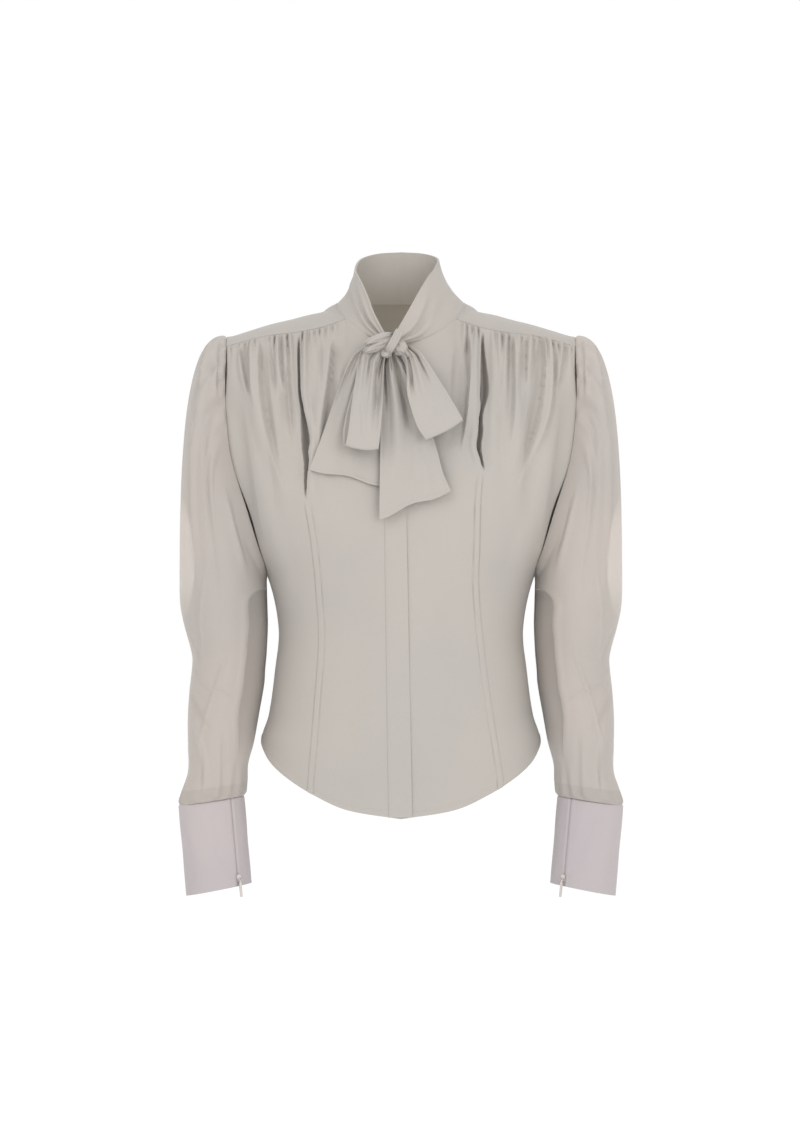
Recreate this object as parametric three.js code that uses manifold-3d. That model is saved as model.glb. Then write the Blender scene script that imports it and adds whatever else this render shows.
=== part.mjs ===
// A blouse with a pussy bow, a gathered yoke, puffed sleeves and zipped cuffs, filled out as it is when worn.
// Millimetres. +Z is up, the front faces -Y, +X is the wearer's left.
// The origin lies between the two points where the shoulders meet the neck, which carry the blouse.
import * as THREE from 'three';
import { mergeVertices } from 'three/addons/utils/BufferGeometryUtils.js';
import Module from 'manifold-3d';

const wasm = await Module();
wasm.setup();

const { lerp, clamp, smoothstep } = THREE.MathUtils;
const vec = (x, y, z) => new THREE.Vector3(x, y, z);

// A table is a list of rows with named columns.
const table = (names, rows) => {
  const keys = names.split(' ');
  return rows.map(row => Object.fromEntries(keys.map((key, i) => [key, row[i]])));
};

// Walls and gaps
const CLOTH = 1.3; // wall of a single layer
const DOUBLE = 2.0; // wall of the doubled collar, yoke and cuffs
const SEAM = 0.3; // between two pieces that are sewn together
const LAID = CLOTH + SEAM; // how far a piece lies outside the panel under it

// Heights
const UNDERARM = -296;
const YOKE_BACK = -92; // seam of the back yoke
const SHOULDER_JOIN = -120; // below it the body's sections take over from the shoulder curve

// The body at each height: half the width of its full section, and its front and back on the centre line.
const BODY = table('z full front back', [
  [-40, 222, -84, 84],
  [-80, 223, -96, 97],
  [-120, 221, -105, 102],
  [-166, 212, -111, 103],
  [-227, 187, -113, 101],
  [-262, 170, -111, 97],
  [-296, 149.5, -108, 93],
  [-354, 137, -101, 87],
  [-401, 141, -103, 92],
  [-451, 148, -108, 100],
  [-477, 156, -111, 104],
  [-563, 161, -115, 108],
]);
const SQUARE = 0.9; // below 1 makes the sections squarer than an ellipse
const SIDE_DEGREES = 89.8; // the side seam, just short of the other half
const BUST = { x: 84, z: -180, height: 7, wide: 48, tall: 62 };

// The armhole: how far round its section, in degrees from the centre line, the body reaches at each height.
const ARMHOLE = table('z degrees', [
  [-40, 60],
  [-120, 60],
  [-166, 61.2],
  [-227, 64],
  [-262, 68.5],
  [-282, 75],
  [-291, 81.5],
  [-296, 89.8],
]);

// The neckline, from the centre front (0) to the centre back (1).
const NECK = table('at x y z', [
  [0, 0, -80, -42],
  [0.2, 38, -68, -28],
  [0.38, 62, -42, -10],
  [0.55, 72, -8, 8],
  [0.72, 62, 28, 10],
  [0.87, 36, 50, 11],
  [1, 0, 58, 11],
]);
const NECK_CORNER = { at: 0.38, u: 0.29, w: 0.45 }; // where the front yoke seam meets the neckline

// The front yoke seam, from the neckline to the armhole.
const YOKE_SEAM = table('u x y z', [
  [0.29, 62, -42, -10],
  [0.4, 85, -43, -18],
  [0.55, 113, -43, -24],
  [0.75, 152, -42, -29],
  [1, 194, -40, -40],
]);
// How far the cloth leans out just below the neckline and the yoke.
const LEAN = table('u lean', [[0, 0.35], [0.16, 0.5], [0.29, 0.75], [0.5, 0.8], [0.75, 0.75], [1, 0.6]]);

// The shirt-tail hem, from the centre (0) to the side seam (1).
const HEM = table('u z', [
  [0, -563],
  [0.28, -553],
  [0.47, -536],
  [0.63, -519],
  [0.77, -503],
  [0.88, -489],
  [1, -478],
]);

// How the yoke leaves its front edge or the neckline, and how high it comes up from the back seam.
const YOKE = table('w backU x y z rise', [
  [0, 0, 0, 18, -4, 45],
  [0.12, 0.2, 4, 22, -3, 46],
  [0.25, 0.35, 13, 26, 2, 50],
  [0.35, 0.45, 27, 34, 13, 56],
  [0.45, 0.53, 34, 44, 38, 62],
  [0.53, 0.6, 22, 50, 49, 64],
  [0.62, 0.67, 10, 51, 48, 62],
  [0.82, 0.84, 2, 42, 38, 54],
  [1, 1, 0, 35, 30, 46],
]);
const YOKE_LEAN = 0.12; // how far it leans forward for each millimetre that it rises
const YOKE_CLEAR = 0.007; // share of its depth that it stays clear of the fronts

// The gathers under the front yoke seam: place along the seam, height and how far down each one runs.
const GATHERS = {
  right: table('x height run', [
    [186, 1.6, 60], [177, 2.2, 110], [170, 1.4, 35], [165, 1.8, 70], [159, 1.3, 30],
    [154, 2, 95], [148, 1.4, 40], [143, 1.7, 60], [137, 2.4, 140], [130, 1.8, 55],
    [123, 2.6, 170], [106, 2.6, 150], [99, 1.8, 60], [93, 1.5, 45], [87, 2, 80],
    [80, 1.4, 35], [73, 1.6, 50],
  ]),
  left: table('x height run', [
    [187, 1.8, 70], [179, 1.5, 40], [172, 2.2, 120], [165, 1.4, 35], [158, 1.8, 75],
    [152, 1.5, 45], [145, 2.3, 130], [138, 1.5, 40], [131, 1.9, 70], [124, 1.4, 35],
    [117, 2.5, 160], [109, 1.8, 60], [102, 2.4, 140], [83, 2.6, 150], [76, 1.7, 55],
    [70, 2.2, 110],
  ]),
};
const GATHER_HALF = 3.4; // half a gather's width at the seam
const GATHER_SPREAD = 80; // it is twice as wide this far down

// The gathers of the back panel under the yoke.
const BACK_GATHERS = table('x height run', [
  [34, 2, 90], [44, 1.5, 45], [54, 2.2, 120], [65, 1.6, 50], [76, 2.2, 110], [88, 1.6, 60], [100, 1.8, 80],
]);

// The deep fold above each tuck: distance from the centre line at each height.
const RELEASE = {
  right: table('z x', [[-24, 113.5], [-90, 112.8], [-144, 107], [-205, 100]]),
  left: table('z x', [[-18, 91], [-72, 92.4], [-119, 89.2], [-186, 90]]),
};
const FOLD = { depth: 7, half: 6.5, deepest: 0.8, ends: 0.6 };

// The stitched tucks below the folds: distance from the centre line at each height.
const TUCKS = {
  right: table('z x', [
    [-205, 103], [-243, 98.5], [-268, 95], [-310, 91], [-366, 88], [-440, 93], [-527, 100],
  ]),
  left: table('z x', [
    [-186, 88], [-220, 85], [-258, 84], [-310, 83], [-394, 91], [-450, 99], [-520, 110],
  ]),
};
const BACK_DARTS = table('z x', [[-210, 74], [-300, 72], [-354, 68], [-420, 71], [-470, 75]]);
const TUCK = { half: 2.6, height: 1.1, edge: 0.8, starts: 12, runs: 60, fades: 40 };
const TUCK_EDGES = [-TUCK.half - TUCK.edge, -TUCK.half, TUCK.half, TUCK.half + TUCK.edge];

// The concealed opening: the placket's stitched side and its free edge, as X.
const PLACKET = table('z stitched free', [
  [-40, -19, 4],
  [-222, -18.5, 6],
  [-563, -14, 12.5],
]);
const PLACKET_OVER = 0.15; // clear of the gap between a layer and the one under it
const FRONTS_MEET = { right: 13, left: -12.4 }; // edges of the fronts under the placket

// The collar's upper edge, from the centre front (0) to the centre back (1).
const COLLAR_TOP = table('at x y z', [
  [0, 4, -90, -30],
  [0.12, 21, -80, -14],
  [0.3, 36, -60, 14],
  [0.46, 48, -28, 38],
  [0.58, 52, -4, 48],
  [0.74, 45, 24, 61],
  [0.87, 26, 41, 67.5],
  [1, 0, 47, 69.5],
]);
// The wearer's left side is drawn across towards the knot: how far its upper edge moves from there.
const COLLAR_DRAWN = table('at x y z', [
  [0, 0, 0, 0],
  [0.12, -13, 0, 0],
  [0.3, -17, -5, 0],
  [0.46, -17, -9, 0],
  [0.58, -14, -9, 0],
  [0.74, -3, -2, 0],
  [0.87, 0, 0, 0],
  [1, 0, 0, 0],
]);
const COLLAR_STANDS = { lowest: 0.26, low: 0.62, high: 0.64, highest: 0.92 }; // bends in over the neckline
const COLLAR_LIFT = 0.03; // share of its height that it stays clear of the neckline
const COLLAR_ENDS = { right: 0.13, left: 0.03, drawn: 0.09 }; // on the neckline, drawn in to the knot
const KNOT_LEAN = -12; // the knot, and the collar's ends with it, lie this far from the centre line

// The sleeve's rings below the underarm: its outer and inner side, how much lower the outer side lies,
// the middle of its depth, and half its depth.
const SLEEVE = table('z outer inner slant y depth', [
  [-312, 248, 150, 0, 3, 66],
  [-330, 247, 149.5, 0, 3.5, 65],
  [-350, 243, 149, 0, 4, 62],
  [-384, 234, 150.5, -2, 5, 57],
  [-401, 234.5, 152, -3, 4, 56],
  [-418, 236.5, 153, -4, 2, 55],
  [-451, 238.5, 158.5, -5, -4, 52],
  [-485, 238, 164.5, -6, -11, 47],
  [-510, 237.5, 171, -8, -17, 41],
  [-527, 242.5, 172, -10, -20, 37],
  [-540, 246.5, 173.5, -11, -21.5, 33],
  [-546, 247, 175, -11, -22, 30],
]);
// How the sleeve head leaves the armhole, from the shoulder (0) by the front to the underarm (0.5).
const SLEEVE_HEAD = table('w x y z length drop', [
  [0, 1, 0, 0.26, 54, 122],
  [0.12, 0.88, -0.42, 0.12, 46, 104],
  [0.25, 0.74, -0.58, -0.02, 38, 84],
  [0.38, 0.62, -0.46, -0.35, 24, 44],
  [0.46, 0.4, -0.2, -0.8, 9, 12],
  [0.5, 0.22, 0, -0.97, 5, 5],
]);
// The gathers round the sleeve head, on both sides of the shoulder.
const HEAD_GATHERS = table('w height run', [
  [-0.2, 1.6, 0.1], [-0.155, 2.2, 0.16], [-0.115, 2.4, 0.2], [-0.08, 2, 0.14], [-0.045, 2.8, 0.22],
  [-0.01, 2.2, 0.16], [0.025, 2.8, 0.24], [0.06, 2, 0.14], [0.095, 2.6, 0.22], [0.135, 2, 0.16],
  [0.175, 1.8, 0.14],
]);
const HEAD_GATHER = { half: 0.017, spread: 0.12, starts: 0.01 };
const CUFF_GATHERS = { count: 12, height: 1.8, run: 0.1, ends: 0.012 };
const SLEEVE_CLEAR = 0.1; // beyond the gap at the armhole

// The cuff: outer and inner side of its two edges, and the zip's place on it.
const CUFF = table('v outer outerZ inner innerZ y depth', [
  [0, 248, -552, 175, -541.5, -22, 29],
  [1, 240, -652, 166, -637.5, -26, 29.5],
]);
const ZIP = { w: 0.355, gap: 0.5, step: 0.01 };

// The slider and its pull tab, in their own directions: across, along the zip (down) and away from the cuff.
const SLIDER = { half: 2.5, nose: 1.8, top: -4.6, bottom: 4.4, clear: 0.35, thick: 2, round: 1.4, v: 0.915 };
const LUG = { inner: 1.15, outer: 2, reach: 1.5, over: 1.2, sunk: 0.2 };
const PIN = { radius: 0.45, half: 1.8, along: 1.2, away: 4.15, sides: 16 };
const TAB = {
  eye: 1.35, hole: 0.8, from: 0.95, half: 0.75, neck: 2.2, blade: 3.4, wide: 1.5, length: 19.5, thick: 1,
};

// The bow. Each strip is given by its two edges, as X and Z, and by how far it lies off the chest.
const TIE = { wall: 1.2, drawn: 0.12, foldsFrom: 0.04, foldsTo: 0.42, folds: 3, across: 6 };
const CHEST_TOP = -44; // above this height the strips lie as far off as at it
const KNOT = { x: -13, y: -100, z: -39, wide: 18, deep: 11, high: 12.5, clear: 1 };
const BAND = { slant: 0.5, half: 0.62, height: 0.1, ripple: 0.03, ripples: 9 };
const TAILS = {
  right: table('t leftX leftZ rightX rightZ off', [
    [0, -29, -50, -19, -53, 7],
    [0.15, -46, -70, -19, -75, 6],
    [0.4, -66, -107, -18, -117, 5],
    [0.7, -85, -147, -18, -160, 4.5],
    [1, -101, -179, -18, -198, 4.5],
  ]),
  left: table('t leftX leftZ rightX rightZ off', [
    [0, -17, -54, -7, -53, 10],
    [0.12, -23, -76, 6, -73, 11],
    [0.35, -24, -115, 24, -108, 11],
    [0.68, -22, -176, 42, -160, 10.5],
    [1, -17, -234, 53, -203, 10.5],
  ]),
};
const LOOPS = {
  right: table('t leftX leftZ rightX rightZ off', [
    [0, -36, -42, -20, -53, 15],
    [0.14, -45, -64, -19, -76, 20],
    [0.3, -56, -100, -20, -112, 27],
    [0.43, -62, -133, -22.5, -145, 29],
    [0.49, -64, -148, -24, -157, 26],
    [0.52, -63.5, -149, -24, -157.5, 21.5],
    [0.58, -61, -134, -23, -144, 18.5],
    [0.74, -53, -97, -21, -107, 17.5],
    [0.9, -43, -64, -20, -76, 15.5],
    [1, -35, -44, -21, -53, 12.5],
  ]),
  left: table('t leftX leftZ rightX rightZ off', [
    [0, 0, -46, 6, -35, 16],
    [0.14, 4, -66, 24, -60, 21],
    [0.3, 13, -101, 46, -91, 27],
    [0.43, 29, -133, 60, -114, 29],
    [0.49, 36.5, -144, 66.5, -124.5, 26.5],
    [0.52, 36.5, -144.5, 66, -125, 22.5],
    [0.58, 30, -132, 59, -115, 19.5],
    [0.74, 15, -98, 42, -91, 18.5],
    [0.9, 5, -64, 23, -62, 17],
    [1, 1, -46, 7, -37, 13.5],
  ]),
};

const hermite = (t, a, da, b, db) =>
  (2 * t ** 3 - 3 * t ** 2 + 1) * a + (t ** 3 - 2 * t ** 2 + t) * da
  + (3 * t ** 2 - 2 * t ** 3) * b + (t ** 3 - t ** 2) * db;

// Reads a column at any place along a table's key column, on a smooth curve through its rows.
function read(rows, key, at, name) {
  const last = rows.length - 1;
  const sign = Math.sign(rows[last][key] - rows[0][key]);
  let i = 0;
  while (i < last - 1 && sign * at > sign * rows[i + 1][key]) i += 1;
  const slope = k => {
    const before = rows[Math.max(k - 1, 0)];
    const after = rows[Math.min(k + 1, last)];
    return (after[name] - before[name]) / (after[key] - before[key]);
  };
  const span = rows[i + 1][key] - rows[i][key];
  const t = clamp((at - rows[i][key]) / span, 0, 1);
  return hermite(t, rows[i][name], slope(i) * span, rows[i + 1][name], slope(i + 1) * span);
}

const readPoint = (rows, key, at) => vec(...['x', 'y', 'z'].map(name => read(rows, key, at, name)));

const bezier = (t, a, b, c, d) => vec(0, 0, 0)
  .addScaledVector(a, (1 - t) ** 3)
  .addScaledVector(b, 3 * t * (1 - t) ** 2)
  .addScaledVector(c, 3 * t * t * (1 - t))
  .addScaledVector(d, t ** 3);

const bump = q => (Math.abs(q) < 1 ? (1 - q * q) ** 2 : 0);
const fade = (along, run) => (along < run ? (1 - along / run) ** 1.3 : 0);
const evenly = (from, to, steps) => Array.from({ length: steps + 1 }, (_, i) => lerp(from, to, i / steps));

// The place where a rising function reaches a value.
function solve(rising, value, low, high) {
  for (let i = 0; i < 30; i += 1) {
    const middle = (low + high) / 2;
    if (rising(middle) < value) low = middle;
    else high = middle;
  }
  return (low + high) / 2;
}

// A point of the surface and the one a wall behind it. The wall goes straight in from the plain surface,
// so folds never make it cross itself.
function skin(surface, relief, thick, facing, u, v, [lowU, highU] = [0, 1]) {
  const step = 0.004;
  const across = surface(Math.min(u + step, highU), v).sub(surface(Math.max(u - step, lowU), v));
  const along = surface(u, Math.min(v + step, 1)).sub(surface(u, Math.max(v - step, 0)));
  const out = across.cross(along).normalize().multiplyScalar(facing);
  const outer = surface(u, v).addScaledVector(out, relief(u, v));
  return { u, outer, inner: outer.clone().addScaledVector(out, -thick) };
}

// A closed wall from rows of such points. Rows of unlike count are matched by their u, others one to one.
function wall(rows, round = false) {
  const xyz = [];
  const index = [];
  const starts = [];
  for (const row of rows) {
    starts.push(xyz.length / 3);
    for (const { outer, inner } of row) xyz.push(...outer.toArray(), ...inner.toArray());
  }
  const count = r => rows[r].length + (round ? 1 : 0);
  const out = (r, c) => starts[r] + 2 * (c % rows[r].length);
  const into = (r, c) => out(r, c) + 1;
  const quad = (a, b, c, d) => index.push(a, b, c, a, c, d);

  for (let r = 0; r < rows.length - 1; r += 1) {
    let i = 0;
    let j = 0;
    const alike = rows[r].length === rows[r + 1].length;
    const place = (row, c) => {
      if (alike) return c;
      return c < rows[row].length ? rows[row][c].u : rows[row][0].u + 1;
    };
    while (i < count(r) - 1 || j < count(r + 1) - 1) {
      const upper = j === count(r + 1) - 1 || (i < count(r) - 1 && place(r, i + 1) <= place(r + 1, j + 1));
      if (upper) {
        index.push(out(r, i), out(r, i + 1), out(r + 1, j), into(r, i + 1), into(r, i), into(r + 1, j));
        i += 1;
      } else {
        index.push(out(r, i), out(r + 1, j + 1), out(r + 1, j));
        index.push(into(r + 1, j + 1), into(r, i), into(r + 1, j));
        j += 1;
      }
    }
    if (!round) {
      const [a, b] = [count(r) - 1, count(r + 1) - 1];
      quad(out(r, 0), out(r + 1, 0), into(r + 1, 0), into(r, 0));
      quad(out(r + 1, b), out(r, a), into(r, a), into(r + 1, b));
    }
  }
  const end = rows.length - 1;
  for (let i = 0; i < count(0) - 1; i += 1) quad(out(0, i + 1), out(0, i), into(0, i), into(0, i + 1));
  for (let i = 0; i < count(end) - 1; i += 1) {
    quad(out(end, i), out(end, i + 1), into(end, i + 1), into(end, i));
  }
  return facingOut(xyz, index);
}

// A geometry from points and triangles, turned so that its faces point out.
function facingOut(xyz, index) {
  const corner = i => vec(xyz[3 * i], xyz[3 * i + 1], xyz[3 * i + 2]);
  let volume = 0;
  for (let i = 0; i < index.length; i += 3) {
    volume += corner(index[i]).dot(corner(index[i + 1]).cross(corner(index[i + 2])));
  }
  if (volume < 0) index.reverse();
  const geometry = new THREE.BufferGeometry();
  geometry.setAttribute('position', new THREE.Float32BufferAttribute(xyz, 3));
  geometry.setIndex(index);
  return geometry;
}

// Body sections

// A point of the body's front or back half: u is 0 on the centre line and 1 at the armhole or side seam.
function section(face, z, u) {
  const full = read(BODY, 'z', z, 'full');
  const centre = read(BODY, 'z', z, face);
  const degrees = z <= UNDERARM ? SIDE_DEGREES : read(ARMHOLE, 'z', z, 'degrees');
  const points = evenly(0, THREE.MathUtils.degToRad(degrees), 48)
    .map(a => [full * Math.sin(a) ** SQUARE, centre * Math.cos(a)]);
  const walked = [0];
  for (let i = 1; i < points.length; i += 1) {
    walked.push(walked[i - 1] + Math.hypot(points[i][0] - points[i - 1][0], points[i][1] - points[i - 1][1]));
  }
  const want = Math.min(Math.abs(u), 1) * walked[walked.length - 1];
  let i = 1;
  while (i < walked.length - 1 && walked[i] < want) i += 1;
  const t = (want - walked[i - 1]) / (walked[i] - walked[i - 1]);
  const x = lerp(points[i - 1][0], points[i][0], t);
  let y = lerp(points[i - 1][1], points[i][1], t);
  if (face === 'front') {
    y -= BUST.height * Math.exp(-(((x - BUST.x) / BUST.wide) ** 2) - ((z - BUST.z) / BUST.tall) ** 2);
  }
  return { x: x * Math.sign(u || 1), y };
}

const neckAt = at => readPoint(NECK, 'at', at);

const mirrored = (point, side) => vec(point.x * side, point.y, point.z);

const seamAt = u => {
  const a = Math.abs(u);
  const point = a < NECK_CORNER.u
    ? neckAt(NECK_CORNER.at * a / NECK_CORNER.u)
    : readPoint(YOKE_SEAM, 'u', a);
  return mirrored(point, Math.sign(u || 1));
};

// The plain front, on the wearer's left; the right one is its mirror image.
function frontPoint(u, z) {
  const top = seamAt(u);
  if (z <= SHOULDER_JOIN) {
    const { x, y } = section('front', z, u);
    return vec(x, y, z);
  }
  const fall = top.z - SHOULDER_JOIN;
  const t = clamp((top.z - z) / fall, 0, 1);
  const end = section('front', SHOULDER_JOIN, u);
  const below = section('front', SHOULDER_JOIN - 10, u);
  const lean = read(LEAN, 'u', Math.abs(u), 'lean');
  const x = hermite(t, top.x, 0, end.x, (below.x - end.x) * fall / 10);
  const y = hermite(t, top.y, -lean * fall, end.y, (below.y - end.y) * fall / 10);
  return vec(x, y, z);
}

const hemZ = u => read(HEM, 'u', Math.abs(u), 'z');
const uOfX = (x, z) => solve(u => frontPoint(u, z).x, x, -1, 1);
const seamU = x => solve(u => seamAt(u).x, x, -1, 1);
const frontZ = (u, v) => lerp(seamAt(u).z, hemZ(u), v);

// Ridges that start at a seam, spread and die out below it.
function gathered(gathers, x, below) {
  const half = GATHER_HALF * (1 + below / GATHER_SPREAD);
  return gathers.reduce((sum, g) => sum + g.height * fade(below, g.run) * bump((x - g.x) / half), 0);
}

// A stitched tuck: a flat ridge along its line.
function stitched(lines, x, z) {
  const [top, bottom] = [lines[0].z, lines[lines.length - 1].z];
  const off = Math.abs(x - read(lines, 'z', z, 'x'));
  const ends = smoothstep(top - z, 0, TUCK.starts) * smoothstep(z - bottom + TUCK.runs, 0, TUCK.fades);
  return TUCK.height * ends * (1 - smoothstep(off, TUCK.half, TUCK.half + TUCK.edge));
}

// The relief of a front panel over its plain surface.
function frontRelief(name, u, z) {
  const top = seamAt(u);
  const below = Math.max(top.z - z, 0);
  const point = frontPoint(u, z);
  const fold = RELEASE[name];
  const down = clamp((fold[0].z - z) / (fold[0].z - fold[fold.length - 1].z), 0, 1);
  const depth = FOLD.depth * Math.sin(Math.PI * down ** FOLD.deepest) ** FOLD.ends;
  return gathered(GATHERS[name], top.x, below)
    - depth * bump((point.x - read(fold, 'z', z, 'x')) / FOLD.half)
    + stitched(TUCKS[name], point.x, z);
}

const FRONT_ROWS = [0, 0.012, 0.035, 0.075, 0.13];
const UNDERARM_V = (seamAt(1).z - UNDERARM) / (seamAt(1).z - hemZ(1));
const FRONT_LOWER = [
  0.19, 0.25, 0.31, 0.37, 0.43, 0.48, 0.525, 0.56, UNDERARM_V,
  0.65, 0.72, 0.79, 0.86, 0.93, 1,
];
const FRONT_COLUMNS = { neck: 7, inner: 5, outer: 7, clear: 0.004 };

// The lines of a front's fold, and below it of its tuck, at a height.
function foldLines(name, z) {
  const fold = RELEASE[name];
  if (z > fold[fold.length - 1].z) {
    const middle = read(fold, 'z', z, 'x');
    return [-1, -0.35, 0.35, 1].map(k => uOfX(middle + k * FOLD.half, z));
  }
  const middle = read(TUCKS[name], 'z', z, 'x');
  return TUCK_EDGES.map(off => uOfX(middle + off, z));
}

// Columns of a front at a height: near the seam a peak and a valley for each gather,
// below them an even spread.
function frontColumns(name, v) {
  const inner = uOfX(FRONTS_MEET[name], frontZ(0, v));
  const lines = foldLines(name, frontZ(0.5, v));
  if (v > FRONT_ROWS[FRONT_ROWS.length - 1]) {
    const innerSide = evenly(inner, lines[0], FRONT_COLUMNS.inner);
    const outerSide = evenly(lines[3], 1, FRONT_COLUMNS.outer);
    return [...innerSide.slice(0, -1), ...lines, ...outerSide.slice(1)];
  }
  const peaks = GATHERS[name].map(g => seamU(g.x)).sort((a, b) => a - b);
  const both = peaks.flatMap((u, i) => [u, (u + (peaks[i + 1] ?? 1)) / 2]);
  const off = FRONT_COLUMNS.clear;
  const clear = both.filter(u => u > NECK_CORNER.u + 2 * off && (u < lines[0] - off || u > lines[3] + off));
  return [...evenly(inner, NECK_CORNER.u, FRONT_COLUMNS.neck), ...clear, ...lines, 1].sort((a, b) => a - b);
}

function front(name) {
  const side = name === 'right' ? -1 : 1;
  const surface = (u, v) => mirrored(frontPoint(u, frontZ(u, v)), side);
  const relief = (u, v) => frontRelief(name, u, frontZ(u, v));
  return wall([...FRONT_ROWS, ...FRONT_LOWER].map(v => frontColumns(name, v)
    .map(u => skin(surface, relief, CLOTH, -side, u, v, [-1, 1]))));
}

// The placket lies over the edges of both fronts.
function placket() {
  const surface = (t, v) => {
    const z = frontZ(0.05, v);
    const x = lerp(read(PLACKET, 'z', z, 'stitched'), read(PLACKET, 'z', z, 'free'), t);
    const u = uOfX(Math.abs(x), z) * Math.sign(x);
    return frontPoint(u, z);
  };
  const rows = [...FRONT_ROWS.slice(2), ...FRONT_LOWER];
  const over = () => LAID + PLACKET_OVER;
  return wall(rows.map(v => evenly(0, 1, 3).map(t => skin(surface, over, CLOTH, -1, t, v))));
}

const BACK_UNDERARM_V = (YOKE_BACK - UNDERARM) / (YOKE_BACK - hemZ(1));
const BACK_ROWS = [0, 0.015, 0.05, 0.11, 0.18];
const BACK_COLUMNS = { inner: 3, outer: 5, gather: 5, sides: [0.6, 0.72, 0.84, 0.93, 1] };
const BACK_LOWER = [0.25, 0.32, 0.39, 0.45, 0.495, BACK_UNDERARM_V, 0.6, 0.68, 0.76, 0.84, 0.92, 1];

function back() {
  const heightAt = (u, v) => lerp(YOKE_BACK - SEAM, hemZ(u), v);
  const surface = (u, v) => {
    const z = heightAt(u, v);
    const { x, y } = section('back', z, u);
    return vec(x, y, z);
  };
  const relief = (u, v) => {
    const z = heightAt(u, v);
    const { x } = surface(Math.abs(u), v);
    return gathered(BACK_GATHERS, x, YOKE_BACK - z) + stitched(BACK_DARTS, x, z);
  };
  const xAt = (x, z) => solve(u => section('back', z, u).x, x, 0, 1);
  const darted = z => {
    const middle = read(BACK_DARTS, 'z', z, 'x');
    const lines = TUCK_EDGES.map(off => xAt(middle + off, z));
    const innerSide = evenly(0, lines[0], BACK_COLUMNS.inner);
    const outerSide = evenly(lines[3], 1, BACK_COLUMNS.outer);
    return [...innerSide.slice(0, -1), ...lines, ...outerSide.slice(1)];
  };
  const columns = v => {
    const z = heightAt(0.3, v);
    const folds = BACK_GATHERS.flatMap(g => [xAt(g.x - BACK_COLUMNS.gather, YOKE_BACK), xAt(g.x, YOKE_BACK)]);
    const half = v <= BACK_ROWS[BACK_ROWS.length - 1] ? [0, ...folds, ...BACK_COLUMNS.sides] : darted(z);
    return [...half.filter(u => u > 0).map(u => -u).reverse(), ...half];
  };
  return wall([...BACK_ROWS, ...BACK_LOWER].map(v => columns(v)
    .map(u => skin(surface, relief, CLOTH, 1, u, v, [-1, 1]))));
}

// The yoke: w is 0 at the centre back and 1 at the shoulder; t runs from the front to the back seam.
function yokePoint(w, t) {
  const a = Math.abs(w);
  const start = a < NECK_CORNER.w
    ? neckAt(lerp(1, NECK_CORNER.at, a / NECK_CORNER.w))
    : seamAt(lerp(NECK_CORNER.u, 1, (a - NECK_CORNER.w) / (1 - NECK_CORNER.w)));
  const end = section('back', YOKE_BACK, read(YOKE, 'w', a, 'backU'));
  const finish = vec(end.x, end.y, YOKE_BACK);
  const second = start.clone().add(readPoint(YOKE, 'w', a));
  const rise = read(YOKE, 'w', a, 'rise');
  const third = finish.clone().add(vec(0, -YOKE_LEAN * rise, rise));
  return mirrored(bezier(t, start, second, third, finish), Math.sign(w || 1));
}
const YOKE_COLUMNS = 44;
const YOKE_ROWS = [0, 0.1, 0.2, 0.32, 0.46, 0.62, 0.8, 1];

function yoke() {
  const surface = (w, v) => yokePoint(w, lerp(YOKE_CLEAR, 1, v));
  return wall(YOKE_ROWS.map(v => evenly(-1, 1, YOKE_COLUMNS)
    .map(w => skin(surface, () => 0, DOUBLE, 1, w, v, [-1, 1]))));
}

// Draws a point towards the knot, as far as its surface.
function towardsKnot(point, pull) {
  const centre = vec(KNOT.x, KNOT.y, KNOT.z);
  const ray = point.clone().sub(centre);
  const reach = 1 / Math.hypot(ray.x / KNOT.wide, ray.y / KNOT.deep, ray.z / KNOT.high);
  const seat = (1 + BAND.height + BAND.ripple) * reach + KNOT.clear / ray.length();
  return point.lerp(centre.addScaledVector(ray, seat), pull);
}

// The collar: v is 0 at the neckline and 1 at its folded upper edge.
function collarPoint(a, v) {
  const at = 1 - Math.abs(a);
  const low = neckAt(at);
  const lean = KNOT_LEAN * clamp(1 - at / 0.5, 0, 1) ** 2;
  const high = readPoint(COLLAR_TOP, 'at', at);
  const mix = (inward, height) => low.clone().lerp(high, inward).setZ(lerp(low.z, high.z, height));
  const second = mix(COLLAR_STANDS.low, COLLAR_STANDS.lowest);
  const third = mix(COLLAR_STANDS.highest, COLLAR_STANDS.high);
  const point = mirrored(bezier(v, low, second, third, high), Math.sign(a || 1));
  const end = 1 - (a < 0 ? COLLAR_ENDS.right : COLLAR_ENDS.left);
  point.add(vec(lean * v, 0, 0));
  if (a > 0) point.addScaledVector(readPoint(COLLAR_DRAWN, 'at', at), v * v);
  return towardsKnot(point, smoothstep(Math.abs(a), end - COLLAR_ENDS.drawn, end));
}

function collar() {
  const surface = (a, v) => collarPoint(a, lerp(COLLAR_LIFT, 1, v));
  const span = [-1 + COLLAR_ENDS.right, 1 - COLLAR_ENDS.left];
  return wall([0, 0.16, 0.34, 0.54, 0.78, 1].map(v => evenly(...span, 34)
    .map(a => skin(surface, () => 0, DOUBLE, -1, a, v, span))));
}

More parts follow.
